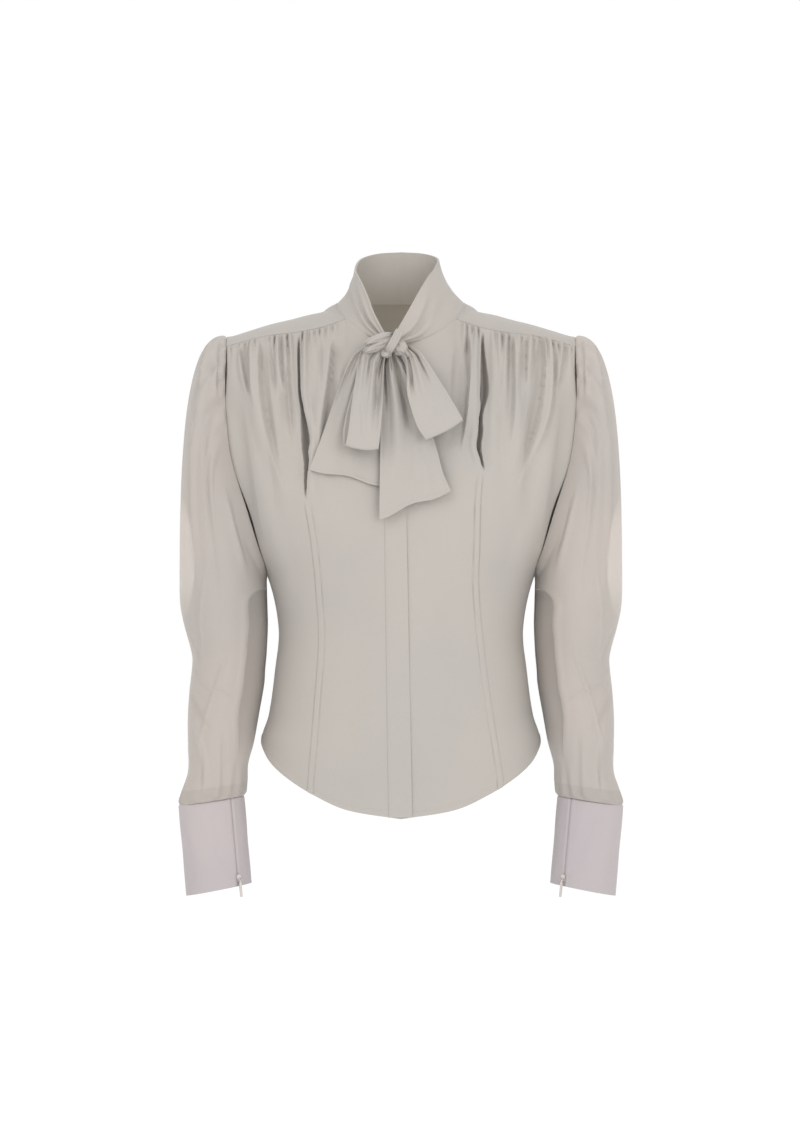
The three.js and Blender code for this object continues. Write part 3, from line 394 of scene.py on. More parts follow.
def gathered(rows, x, below, half, spread):
    # ridges that puff out just under a seam, spread and die out, with sharp nicks between them
    total = 0
    draw = np.random.default_rng(12)
    for number, (at, height, run) in enumerate(zip(*rows.values())):
        height, run = height * (0.5 + 1.0 * draw.random()), run * (0.3 + 0.6 * draw.random())
        swing = 0.03 * below * math.sin(2.3 * number)
        wide = half * (1 + below / spread)
        total = total + 1.5 * height * fade(below, run) * hill((x - at - swing) / wide)
        cut = 0.9 * fade(below, run * 0.75)
        cut = cut + fade(below, 9 + 5 * math.sin(4.1 * number))  # deepest at the seam
        total = total - height * cut * nick((x - at - swing - wide * 0.95) / (wide * 0.55))
    return total * smooth(below, 0, 3)


def stitchedTuck(line, x, z, sizes):
    # a flat stitched ridge with its stitches pulled in beside it
    top, bottom = line["z"][0], line["z"][-1]
    off = x - read(line, z, "x")
    ends = smooth(top - z, 0, 14) * smooth(z - bottom + 60, 0, 40)
    ridge = 1 - smooth(np.abs(off), sizes["half"], sizes["half"] + sizes["edge"])
    pulled = nick((np.abs(off) - sizes["half"] - sizes["edge"]) / 1.6)
    return ends * (sizes["high"] * ridge - sizes["pulled"] * pulled)


def rolled(distance, wide=6.0, high=0.5):
    # a narrow turned hem: a little thicker, with a nick where it is stitched
    return high * (1 - smooth(distance, wide - 0.8, wide + 0.4)) - 0.35 * nick((distance - wide) / 1.6)


def softFolds(rows, x, z):
    # long soft folds between two points; a negative depth is a trough
    total = 0
    for x0, z0, x1, z1, high, half in zip(*rows.values()):
        dx, dz = x1 - x0, z1 - z0
        length = math.hypot(dx, dz)
        along = ((x - x0) * dx + (z - z0) * dz) / length**2
        off = ((x - x0) * dz - (z - z0) * dx) / length
        ends = smooth(along, -0.05, 0.3) * (1 - smooth(along, 0.6, 1.05))
        total = total + high * ends * hill(off / half)
    return total


def lappedFolds(rows, x, z):
    # folds that lie over to one side, along a bent line: a long soft back, a sharp edge and a trough
    total = 0
    for x0, z0, x1, z1, x2, z2, high, soft, side in zip(*rows.values()):
        t, middle = (z0 - z) / (z0 - z2), (z0 - z1) / (z0 - z2)
        bend = (x1 - mix(x0, x2, middle)) / (middle * (1 - middle))
        beyond = (x - mix(x0, x2, t) - bend * t * (1 - t)) * side  # more than 0 past the sharp edge
        ends = smooth(t, -0.04, 0.12) * (1 - smooth(t, 0.6, 1.03))
        back = np.where(beyond < 0, hill(beyond / soft), 1 - smooth(beyond, 0, 2.4))
        trough = smooth(beyond, 0, 2.4) * (1 - smooth(beyond, 2.4, 2.4 + soft))
        total = total + high * ends * (back - 0.7 * trough)
    return total


def gridFolds(rows, across, down, comes, goes, past=0.5):
    # folds from place to place on a piece's own grid, with where along them they come and go
    total = 0
    for across0, down0, across1, down1, high, half in zip(*rows.values()):
        along = (down - down0) / (down1 - down0)
        ends = smooth(along, *comes) * (1 - smooth(along, *goes))
        middle = mix(across0, across1, np.clip(along, -past, 1 + past))
        total = total + high * ends * hill((across - middle) / half)
    return total


# The fronts

frontSizes = {
    "meet": {"right": 13, "left": -12.4}, "gatherHalf": 3.4, "gatherSpread": 80,
    "columnsIn": 82, "columnsOut": 106, "denser": 1.35,
    "seamAway": 50, "seamNick": 0.6, "seamDeeper": 2.4, "deepestZ": -66, "deepRun": 34,
    "flat": (0.30, 0.56), "area": 0.125,
}
slitSizes = {
    "wide": 1.7, "deep": 1.5, "lip": 0.18, "lipOut": 4.5, "lipHalf": 5.5, "slope": 0.42, "slopeRun": 17,
}
tuckSizes = {"half": 2.4, "edge": 0.8, "high": 1.0, "pulled": 0.7}
frontGathers = {
    "right": table("x height run",
        (186, 1.6, 60), (177, 2.2, 110), (170, 1.4, 35), (165, 1.8, 70), (159, 1.3, 30), (154, 2, 95),
        (148, 1.4, 40), (143, 1.7, 60), (137, 2.4, 140), (130, 1.8, 55), (123, 2.6, 170), (106, 2.6, 150),
        (99, 1.8, 60), (93, 1.5, 45), (87, 2, 80), (80, 1.4, 35), (73, 1.6, 50)),
    "left": table("x height run",
        (187, 1.8, 70), (179, 1.5, 40), (172, 2.2, 120), (165, 1.4, 35), (158, 1.8, 75), (152, 1.5, 45),
        (145, 2.3, 130), (138, 1.5, 40), (131, 1.9, 70), (124, 1.4, 35), (117, 2.5, 160), (109, 1.8, 60),
        (102, 2.4, 140), (83, 2.6, 150), (76, 1.7, 55), (70, 2.2, 110)),
}
slits = {  # the pleats that open above the tucks, each a gap with the centre's edge lapped over it
    "right": table("z x half depth",
        (-24, 113.2, 0.5, 2), (-45, 113.8, 1, 5), (-72, 113.3, 1, 6), (-90, 112.8, 1.1, 7),
        (-114, 109.4, 1.6, 9), (-130, 107.6, 2.7, 10), (-146, 106.2, 3.4, 11), (-158, 106.6, 2.6, 10),
        (-169, 105.4, 2.3, 9), (-189, 106.2, 1.5, 7), (-211, 105.2, 0.5, 1)),
    "left": table("z x half depth",
        (-18, 91, 0.6, 2), (-39, 91.2, 1.2, 6), (-60, 92.2, 2.2, 9), (-80, 93.1, 3, 11),
        (-94, 92.4, 3, 11), (-108, 90.6, 1.6, 9), (-119, 88.8, 1.4, 9), (-136, 88.6, 2, 9),
        (-152, 86.6, 1.9, 9), (-168, 89.6, 1.2, 7), (-180, 91.8, 0.5, 1)),
}
tucks = {
    "right": table("z x",
        (-211, 104), (-243, 98.5), (-268, 95), (-310, 91), (-366, 88), (-440, 93), (-527, 100)),
    "left": table("z x",
        (-180, 88), (-210, 85), (-258, 84), (-310, 83), (-394, 91), (-450, 99), (-520, 110)),
}
frontFolds = {
    "right": table("x0 z0 x1 z1 high half",
        (168, -60, 150, -250, 3, 15), (186, -90, 158, -285, -3.2, 11), (140, -80, 128, -235, 2.4, 12),
        (122, -60, 121, -205, 2, 9), (96, -50, 84, -220, 2, 11), (74, -40, 62, -150, 2.4, 9),
        (152, -210, 120, -330, 1.6, 16), (136, -60, 118, -200, -7.5, 14), (146, -40, 140, -95, -2.4, 3.2),
        (90, -30, 88, -90, -2, 3.4)),
    "left": table("x0 z0 x1 z1 high half",
        (172, -60, 152, -255, 3, 14), (188, -90, 160, -285, -3, 11), (150, -80, 138, -240, -1.8, 9),
        (132, -70, 126, -225, 2.6, 12), (106, -50, 104, -200, 2.2, 9), (72, -40, 60, -170, 2.6, 10),
        (150, -215, 118, -330, 1.6, 16), (112, -60, 106, -190, -4.5, 12), (134, -40, 131, -110, -2.6, 5),
        (66, -40, 58, -150, -6, 10)),
}

frontLaps = {
    "right": table("x0 z0 x1 z1 x2 z2 high soft side",
        (157, -34, 154, -100, 126, -202, 6.5, 17, -1), (167, -38, 165, -72, 159, -112, 4, 6, 1),
        (76, -36, 82, -92, 92, -158, 6.5, 15, -1), (136, -30, 135, -60, 130, -96, 3.4, 7, -1),
        (180, -40, 176, -66, 168, -100, 3.2, 7, -1), (128, -34, 125, -80, 121, -150, 4.4, 9, -1)),
    "left": table("x0 z0 x1 z1 x2 z2 high soft side",
        (158, -28, 156, -102, 127, -200, 6.2, 14, -1), (166, -31, 164, -96, 144, -168, 4.4, 6, 1),
        (126, -28, 126, -84, 121, -152, 5, 13, -1), (76, -30, 75, -90, 66, -160, 6.5, 14, -1),
        (180, -36, 177, -62, 170, -96, 3.2, 7, 1), (142, -28, 141, -56, 139, -90, 3.6, 7, -1)),
}


def frontRelief(name, u, z):
    top, point = seamAt(u), frontPoint(u, z)
    x, below = point[..., 0], np.maximum(top[..., 2] - z, 0)
    slit, sizes, f = slits[name], slitSizes, frontSizes
    inSlit = smooth(z, slit["z"][-1] - 3, slit["z"][-1] + 12)
    width = sizes["wide"] * read(slit, z, "half")
    away = x - read(slit, z, "x")  # from the middle of the gap, more than 0 towards the side
    depth = sizes["deep"] * read(slit, z, "depth") * inSlit * smooth(below, 2, 14)
    lips = sizes["lip"] * depth * hill((away + width + sizes["lipOut"]) / sizes["lipHalf"])
    trough = depth * np.clip(1 - np.abs(away / width) ** 3, 0, 1) ** 0.8
    slope = smooth(away, -width, 0) * (1 - smooth(away, width * 0.6, width + sizes["slopeRun"]))
    nickDepth = f["seamNick"] + f["seamDeeper"] * hill((z - f["deepestZ"]) / f["deepRun"])
    return (gathered(frontGathers[name], top[..., 0], below, f["gatherHalf"], f["gatherSpread"])
            * (1 - 0.8 * hill(away / (width + 5))) - trough - sizes["slope"] * depth * slope + lips
            + stitchedTuck(tucks[name], x, z, tuckSizes)
            + softFolds(frontFolds[name], x, z)
            + lappedFolds(frontLaps[name], x, z)
            - nickDepth * nick((1 - u) * f["seamAway"])  # drawn in at the armhole
            + rolled(z - hemZ(u)))


def front(name):
    side = sides[name]
    v = stations((0, 0.03, 9), (0.03, 0.42, 78), (0.42, 0.96, 66), (0.96, 1, 14))[:, None]
    inner = uOfX(np.full(v.shape, float(frontSizes["meet"][name])), frontZ(0, v))
    level = frontZ(0.5, v)
    slit, tuck = slits[name], tucks[name]
    line = table("z x", *zip(np.append(slit["z"], tuck["z"][1:]), np.append(slit["x"], tuck["x"][1:])))
    fold = uOfX(read(line, level, "x"), level)
    toFold = 1 - (1 - np.linspace(0, 1, frontSizes["columnsIn"] + 1)[:-1]) ** frontSizes["denser"]
    toSide = np.linspace(0, 1, frontSizes["columnsOut"] + 1) ** frontSizes["denser"]  # closer beside the fold
    u = np.concatenate([mix(inner, fold, toFold[None, :]), mix(fold, 1.0, toSide[None, :])], 1)
    z = frontZ(u, v)
    piece = shell(f"frontPanel.{name}", mirrored(frontPoint(u, z), side), frontRelief(name, u, z),
                  bodySizes["cloth"], -side, georgette)
    sewOn(piece, f"front_{name}")


for name in sides:
    front(name)

# The placket over the concealed opening

placketSizes = {"lift": 1.2, "flat": (0.027, 0.53)}
placketRows = table("z stitched free", (-40, -19, 4), (-222, -18.5, 6), (-563, -14, 12.5))


def placket():
    v = stations((0.02, 0.96, 130), (0.96, 1, 10))[:, None]
    t = np.linspace(0, 1, 23)[None, :]
    z = frontZ(0.05, v) + 0 * t
    x = mix(read(placketRows, z, "stitched"), read(placketRows, z, "free"), t)
    plain = frontPoint(uOfX(np.abs(x), z) * np.sign(x), z)
    stitchedSide = x - read(placketRows, z, "stitched")
    relief = placketSizes["lift"] * smooth(stitchedSide, -0.5, 2.5) + 0.25 * wander(z / 240, 8) * t
    relief = relief - 0.3 * nick((stitchedSide - 2.2) / 1.3) + rolled(z - frontZ(0.05, 1.0))
    piece = shell("placketBand", plain, relief, bodySizes["cloth"], -1, georgette)
    sewOn(piece, "placket")


placket()

# The back

backSizes = {"columns": 236, "flat": (0.52, 0.5), "area": 0.2, "gatherHalf": 4.6, "gatherSpread": 110}
backGathers = table("x height run",
    (34, 3, 150), (44, 2, 80), (54, 3.2, 220), (65, 2.2, 90), (76, 3.2, 200), (88, 2.2, 100),
    (100, 2.6, 140))
backDarts = table("z x", (-210, 74), (-300, 72), (-354, 68), (-420, 71), (-470, 75))
backFolds = table("x0 z0 x1 z1 high half",
    (150, -110, 120, -290, 3.2, 16), (128, -120, 104, -260, -2.2, 10), (170, -150, 140, -300, -2.6, 12),
    (20, -110, 14, -300, 2.2, 15), (96, -130, 84, -230, 1.8, 10), (60, -330, 120, -372, -2, 9),
    (20, -340, 96, -352, 1.8, 8), (90, -400, 130, -470, 1.8, 14), (30, -420, 36, -550, 2, 18))


def back():
    v = stations((0, 0.04, 9), (0.04, 0.95, 118), (0.95, 1, 14))[:, None]
    half = np.linspace(0, 1, backSizes["columns"] // 2 + 1)
    u = np.concatenate([-half[:0:-1], half])[None, :]
    z = mix(bodySizes["yokeBack"], hemZ(u), v)
    plain = section("back", z, u)
    x = np.abs(plain[..., 0])
    uneven = 1 + 0.25 * np.sign(plain[..., 0]) * wander(z / 400, 21)
    below = bodySizes["yokeBack"] - z
    relief = gathered(backGathers, x, below, backSizes["gatherHalf"], backSizes["gatherSpread"])
    relief = relief + stitchedTuck(backDarts, x, z, tuckSizes) + softFolds(backFolds, x, z) * uneven
    relief = relief + rolled(z - hemZ(u))
    piece = shell("backPanel", plain, relief, bodySizes["cloth"], 1, georgette)
    sewOn(piece, "back")


back()

# The yoke over both shoulders

yokeSizes = {"columns": 200, "easing": 60, "eased": 0.6, "long": 220, "flat": (0.42, 0.24), "area": 0.066}
yokeRows = table("w backU x y z rise",  # how it leaves the front seam, and its rise from the back seam
    (0, 0, 0, 18, -4, 45), (0.12, 0.2, 4, 22, -3, 46), (0.25, 0.35, 13, 26, 2, 50),
    (0.35, 0.45, 27, 34, 13, 56), (0.45, 0.53, 34, 44, 38, 62), (0.53, 0.6, 22, 50, 49, 64),
    (0.62, 0.67, 10, 51, 48, 62), (0.82, 0.84, 2, 42, 38, 54), (1, 1, 0, 35, 30, 46))


def yokePoint(w, t):
    # w is 0 at the centre back and 1 at a shoulder; t runs from the front seam over it to the back seam
    w, t = np.broadcast_arrays(np.asarray(w, float), np.asarray(t, float))
    a, corner = np.abs(w), bodySizes["cornerW"]
    onNeck = neckAt(mix(1, bodySizes["cornerAt"], a / corner))
    onSeam = seamAt(mix(bodySizes["cornerU"], 1, (a - corner) / (1 - corner)))
    start = np.where((a < corner)[..., None], onNeck, onSeam)
    finish = section("back", bodySizes["yokeBack"], read(yokeRows, a, "backU"))
    rise = read(yokeRows, a, "rise")
    second, third = start + place(yokeRows, a), finish + xyz(0, -0.12 * rise, rise)
    return mirrored(bezier(t, start, second, third, finish), np.where(w < 0, -1, 1))


def yoke():
    w = np.linspace(-1, 1, yokeSizes["columns"] + 1)[None, :]
    t = stations((0, 0.1, 8), (0.1, 0.94, 32), (0.94, 1, 6))[:, None]
    plain = yokePoint(w, t)
    for _ in range(yokeSizes["easing"]):  # eases the shoulder into the neck
        middle = plain[1:-1, 1:-1]
        around = plain[:-2, 1:-1] + plain[2:, 1:-1] + plain[1:-1, :-2] + plain[1:-1, 2:]
        plain[1:-1, 1:-1] = mix(middle, around / 4, yokeSizes["eased"])
    toFront = yokeSizes["long"] * t
    puckers = 0.35 * wander(w * 7, 5, 9) * (1 - smooth(toFront, 2, 14)) * smooth(toFront, 0, 2)
    edge = 0.5 - 0.5 * nick((toFront - 1.6) / 1.6)
    relief = edge + puckers + 0.8 * wander(w * 1.5 + t * 0.6, 11) * smooth(t, 0, 0.3) * smooth(1 - t, 0, 0.3)
    piece = shell("shoulderYoke", plain, relief, bodySizes["doubled"], 1, georgette)
    sewOn(piece, "yoke")


yoke()

# The collar and the bow

knotSizes = {
    "x": -13, "y": -100, "z": -39, "wide": 18, "deep": 11, "high": 12.5, "reach": 0.72,
    "around": 72, "down": 44, "strap": 1.6,
}
collarSizes = {
    "right": 0.13, "left": 0.03, "drawn": 0.09, "lean": -12, "columns": 190, "wall": 2.2, "creaseRun": 0.24,
    "flat": (0.36, 0.075), "area": 0.0205,
}
collarRows = table("at x y z",  # the upper edge, from the centre front to the centre back
    (0, 4, -90, -30), (0.12, 21, -80, -14), (0.3, 36, -60, 14), (0.46, 48, -28, 38), (0.58, 52, -4, 48),
    (0.74, 45, 24, 61), (0.87, 26, 41, 67.5), (1, 0, 47, 69.5))

collarDrawn = table("at x y z",  # how far the edge on the wearer's left is drawn across to the knot
    (0, 0, 0, 0), (0.12, -13, 0, 0), (0.3, -17, -5, 0), (0.46, -17, -9, 0), (0.58, -14, -9, 0),
    (0.74, -3, -2, 0), (0.87, 0, 0, 0), (1, 0, 0, 0))


def towardsKnot(points, pull):
    # draws points in to the knot's surface, as the cloth is where it goes into it
    centre = np.array([knotSizes["x"], knotSizes["y"], knotSizes["z"]], float)
    ray = points - centre
    half = [knotSizes[k] for k in ("wide", "deep", "high")]
    reach = 1 / np.linalg.norm(ray / half, axis=-1, keepdims=True)
    return mix(points, centre + ray * reach * knotSizes["reach"], pull[..., None])


def collarPoint(a, v):
    at = 1 - np.abs(a)
    low, high = neckAt(at), place(collarRows, at)
    lean = collarSizes["lean"] * np.clip(1 - at / 0.5, 0, 1) ** 2
    midway = lambda level, height: mix(low, high, np.array([level, level, height]))
    point = mirrored(bezier(v, low, midway(0.62, 0.26), midway(0.92, 0.64), high), np.where(a < 0, -1, 1))
    end = 1 - np.where(a < 0, collarSizes["right"], collarSizes["left"])
    point[..., 0] = point[..., 0] + lean * v
    point = point + place(collarDrawn, at) * (np.where(a > 0, v, 0) ** 2)[..., None]
    return towardsKnot(point, smooth(np.abs(a), end - collarSizes["drawn"], end))


collarCreases = table("a v slope high half",  # soft folds that run up from the knot
    (-0.8, 0.3, 0.55, 2.6, 0.08), (-0.76, 0.5, 0.7, -2.8, 0.07), (-0.7, 0.72, 0.9, 2, 0.08),
    (-0.62, 0.3, 0.4, -1.8, 0.1), (-0.56, 0.55, 0.5, 1.4, 0.1), (0.88, 0.3, -0.6, 2.4, 0.08),
    (0.84, 0.54, -0.7, -2.6, 0.07), (0.76, 0.74, -0.9, 2, 0.08), (0.7, 0.36, -0.4, -1.6, 0.1))


def collar():
    a = np.linspace(-1 + collarSizes["right"], 1 - collarSizes["left"], collarSizes["columns"] + 1)[None, :]
    v = stations((0, 0.08, 5), (0.08, 0.92, 34), (0.92, 1, 6))[:, None]
    a, v = np.broadcast_arrays(a, v)
    relief = 0.6 * wander(a * 1.2 + 0.4 * v, 31) * smooth(v, 0, 0.3)
    for ca, cv, slope, high, half in zip(*collarCreases.values()):
        along = np.abs(a - ca) / collarSizes["creaseRun"]
        relief = relief + high * (1 - smooth(along, 0.2, 1)) * hill((v - cv - slope * (a - ca)) / (half * 2))
    relief = relief - 0.5 * nick((v - 0.03) / 0.03)
    piece = shell("standCollar", collarPoint(a, v), relief, collarSizes["wall"], -1, georgette)
    sewOn(piece, "collar")


collar()

bowSizes = {
    "cloth": 1.1, "across": 64, "tailSteps": 100, "loopSteps": 170,
    "wide": 60, "tailLong": 150, "turnAt": 0.505,
    "flatTail": {"right": (0.055, 0.165), "left": (0.055, 0.195)},
    "flatLoop": {"right": (0.045, 0.24), "left": (0.04, 0.23)},
}
tailRows = {
    "right": table("t leftX leftZ rightX rightZ off",
        (0, -32, -37, -19, -49, 9), (0.05, -44, -42, -19, -58, 9), (0.12, -55, -55, -19, -70, 9),
        (0.22, -62.5, -71, -19, -87, 7.5), (0.42, -73.5, -102, -18, -119, 5.5),
        (0.7, -88, -145, -18, -161, 4.5), (1, -100.5, -178, -18, -197, 4.5)),
    "left": table("t leftX leftZ rightX rightZ off",
        (0, -17, -52, -7, -50, 10), (0.1, -22, -72, 5, -67, 11), (0.35, -22.5, -115, 24, -108, 11),
        (0.68, -23, -176, 40, -158, 10.5), (0.85, -23.5, -206, 46, -181, 10.5),
        (1, -23.5, -233, 54.8, -202, 10.5)),
}
tailFolds = {  # long soft folds, placed across and along the tail
    "right": table("s0 t0 s1 t1 high half",
        (0.3, 0, 0.22, 0.75, 4, 0.12), (0.52, 0, 0.5, 0.55, -5, 0.1),
        (0.1, 0.02, 0.05, 0.5, -3, 0.06), (0.16, 0.03, 0.13, 0.35, 2.4, 0.05),
        (0.72, 0, 0.76, 0.8, 1.8, 0.1)),
    "left": table("s0 t0 s1 t1 high half",
        (0.14, 0, 0.1, 0.4, -5, 0.1), (0.42, 0, 0.3, 0.85, 5, 0.18),
        (0.7, 0, 0.58, 0.66, -8, 0.14), (0.92, 0, 0.84, 0.5, 2.5, 0.08),
        (0.62, 0.45, 0.68, 1.1, 1.4, 0.14)),
}
loopRows = {
    "right": table("t leftX leftZ rightX rightZ off",
        (0, -36, -40, -19, -51, 15), (0.07, -44, -46, -18.5, -62, 18), (0.16, -48, -66, -19, -80, 22),
        (0.3, -53, -99, -20.5, -110, 27), (0.43, -57.5, -134, -23, -144, 29),
        (0.49, -60.5, -148, -24.5, -155, 27), (0.52, -62.8, -148.5, -25, -155, 21.5),
        (0.58, -63.5, -134, -23, -143, 17.5), (0.74, -55, -97, -21, -107, 17),
        (0.9, -43, -64, -20, -76, 15.5), (1, -35, -44, -21, -53, 12.5)),
    "left": table("t leftX leftZ rightX rightZ off",
        (0, 0, -46, 7, -33, 16), (0.07, 4, -54, 19, -45, 19), (0.16, 6, -72, 31, -62, 23),
        (0.3, 7.5, -98, 46.5, -87, 28), (0.43, 17, -127, 61.5, -112, 29),
        (0.49, 26.5, -141, 67.5, -123.5, 26.5), (0.52, 27.5, -141.5, 67, -124, 21),
        (0.58, 27, -131, 60, -115, 18), (0.74, 14, -98, 42, -91, 18), (0.9, 5, -64, 23, -62, 17),
        (1, 1, -46, 7, -37, 13.5)),
}
loopFolds = {
    "right": table("s0 t0 s1 t1 high half",
        (0.2, 0, 0.18, 0.34, 3.4, 0.12), (0.42, 0, 0.4, 0.26, -3.4, 0.06),
        (0.82, 0, 0.8, 0.46, -9.5, 0.16), (0.6, 0.02, 0.56, 0.46, 2.6, 0.1),
        (0.97, 0, 0.99, 0.34, 3, 0.05), (0.07, 0, 0.06, 0.2, -2.4, 0.05),
        (0.3, 0.3, 0.62, 0.5, 1.4, 0.12)),
    "left": table("s0 t0 s1 t1 high half",
        (0.08, 0, 0.04, 0.34, 3, 0.06), (0.24, 0, 0.14, 0.34, -8, 0.08),
        (0.5, 0, 0.46, 0.42, 3.6, 0.15), (0.74, 0, 0.7, 0.3, -4.6, 0.07),
        (0.9, 0, 0.92, 0.3, 2, 0.08), (0.5, 0.36, 0.7, 0.52, -1, 0.14)),
}
bulges = {"right": (4.5, 0.42), "left": (4.5, 0.3)}  # how far a loop's lower edge rounds down, and where most
hemWaves = {"right": (2.0, 0.62), "left": (-2.6, 0.2)}


def strip(name, side, rows, folds, isLoop, node):
    # a strip of the tie between its two edges, with soft lengthwise folds that start at the knot
    t = np.linspace(0, 1, bowSizes["loopSteps" if isLoop else "tailSteps"] + 1)[:, None]
    s = np.linspace(0, 1, bowSizes["across"] + 1)[None, :]
    t, s = np.broadcast_arrays(t, s)
    value = lambda column: read(rows, t, column)
    x, z = mix(value("leftX"), value("rightX"), s), mix(value("leftZ"), value("rightZ"), s)
    if isLoop:
        deep, where = bulges[side]
        most = np.clip(1 - (np.abs(s - where) / max(where, 1 - where)) ** 2.6, 0, 1)
        z = z - deep * hill((t - bowSizes["turnAt"]) / 0.16) * most
        end = np.minimum(t, 1 - t)
    else:
        high, shift = hemWaves[side]
        wave = np.sin(2 * math.pi * (s * 1.25 + shift))
        z = z + high * t**5 * wave * np.sin(math.pi * np.clip(s, 0, 1)) ** 0.5
        end = t
    y = chestY(x, z) - value("off")
    plain = towardsKnot(xyz(x, y, z), 1 - smooth(end, 0, 0.1))
    relief = gridFolds(folds, s, t, (-0.08, 0.12), (0.35, 1.05), past=0)
    draw = np.random.default_rng(len(name) * 7 + (3 if side == "left" else 0))
    at = 0.06
    while at < 0.97:  # uneven pleats out of the knot, each with a sharp valley beside it
        high, wide, run = 0.8 + 1.6 * draw.random(), 0.045 + 0.05 * draw.random(), 0.06 + 0.12 * draw.random()
        lasts = smooth(end, 0, 0.025) * (1 - smooth(end, 0.3 * run, run))
        away = s - at - 0.04 * np.sin(9 * end + 40 * at)
        relief = relief + high * lasts * (hill(away / wide) - 1.2 * nick((away - wide) / 0.03))
        at += wide * (1.7 + draw.random())
    edge = np.minimum(s, 1 - s) * bowSizes["wide"]
    relief = relief + 0.35 * (1 - smooth(edge, 1.2, 2.2)) - 0.3 * nick((edge - 3) / 1.5)
    if not isLoop:
        relief = relief + rolled((1 - t) * bowSizes["tailLong"], 4)
        relief = relief + 1.2 * wander(s * 0.9 + 0.3, 13) * smooth(t, 0.5, 1)
    piece = shell(name, plain, relief, bowSizes["cloth"], -1, georgette)
    sewOn(piece, node)


for name in sides:
    strip(f"bowTail.{name}", name, tailRows[name], tailFolds[name], False, f"tie_tail_{name}")
    strip(f"bowLoop.{name}", name, loopRows[name], loopFolds[name], True, f"tie_loop_{name}")

knotLumps = table("x y z wide deep high tilt pleats",  # gathered lumps of cloth, each an uneven ball
    (-14, -98, -39.5, 14, 9.5, 9.5, 0, 3), (-24, -101, -34.5, 16, 8.5, 5.6, 20, 4),
    (-27, -101.5, -42.5, 15, 8.5, 5, 24, 3), (-1, -101.5, -44, 8.5, 8, 7.5, -50, 4),
    (4.5, -99, -48.5, 8, 6.5, 3.8, -58, 3), (-16, -101, -50.5, 6, 6, 5, 10, 3))
strapRows = table("t x y z half",  # the narrow end that wraps over them, down its middle line
    (0, -1.5, -98, -25, 4.4), (0.2, -3, -108, -28.5, 4.8), (0.45, -6.5, -114, -35.5, 4.8),
    (0.7, -10.5, -115, -42.5, 4.6), (0.88, -13.5, -111, -47.5, 4.2), (1, -15, -104, -50, 4))


def knot():
    # one piece: the lumps, each a closed ball with pleats round it, and the strap as a closed strip over them
    around, down = knotSizes["around"], knotSizes["down"]
    theta = np.linspace(0, 2 * math.pi, around, endpoint=False)[None, :]
    phi = np.linspace(0.03, math.pi - 0.03, down)[:, None]
    ball = xyz(np.cos(phi) + 0 * theta, np.sin(phi) * np.cos(theta), np.sin(phi) * np.sin(theta))
    number = np.arange(around * down).reshape(down, around)
    right = np.roll(number, -1, 1)
    quads = np.stack([number[:-1], number[1:], right[1:], right[:-1]], -1).reshape(-1, 4)
    points, faces, count = [], [], 0
    for x, y, z, wide, deep, high, tilt, pleats in zip(*knotLumps.values()):
        swell = 1 + 0.12 * np.cos(pleats * theta + 1.6 * np.cos(phi) + x) * np.sin(phi)
        swell = swell + 0.06 * np.cos(7 * theta + 3 * phi)
        swell = swell - 0.10 * nick(np.sin(2 * theta + 1.2 * np.cos(phi) + z) / 0.3) * np.sin(phi)
        lump = ball * swell[..., None] * [wide, deep, high]
        cosine, sine = math.cos(math.radians(tilt)), math.sin(math.radians(tilt))
        across, up = lump[..., 0], lump[..., 2]
        turned = xyz(across * cosine - up * sine, lump[..., 1], across * sine + up * cosine)
        points.append((turned + [x, y, z]).reshape(-1, 3))
        faces += (quads + count).tolist()
        faces += [(number[0] + count).tolist(), (number[-1][::-1] + count).tolist()]
        count += around * down
    t, s = np.broadcast_arrays(np.linspace(0, 1, 61)[:, None], np.linspace(-1, 1, 19)[None, :])
    slant = np.array([0.80, 0, -0.60])  # across the strap
    arch = 0.7 * np.cos(2.5 * math.pi * s) - 1.8 * np.abs(s) ** 3
    strap = place(strapRows, t) + slant * (s * read(strapRows, t, "half"))[..., None] - xyz(0, arch, 0)
    grid = np.arange(s.size).reshape(s.shape) + count
    front = np.stack([grid[:-1, :-1], grid[1:, :-1], grid[1:, 1:], grid[:-1, 1:]], -1).reshape(-1, 4)
    faces += front.tolist() + (front[:, ::-1] + s.size).tolist()
    for rim in (grid[::-1, 0], grid[:, -1], grid[0], grid[-1, ::-1]):
        faces += np.stack([rim[:-1], rim[1:], rim[1:] + s.size, rim[:-1] + s.size], -1).tolist()
    points += [strap.reshape(-1, 3), (strap + [0, knotSizes["strap"], 0]).reshape(-1, 3)]
    everyPoint = np.concatenate(points) * mm
    piece = meshObject("bowKnot", everyPoint, faces, georgette, everyPoint[:, [0, 2]])
    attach(piece, "garment")
    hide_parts("tie_knot")
    print(piece.name, "made,", len(faces), "faces")


knot()

# The sleeves

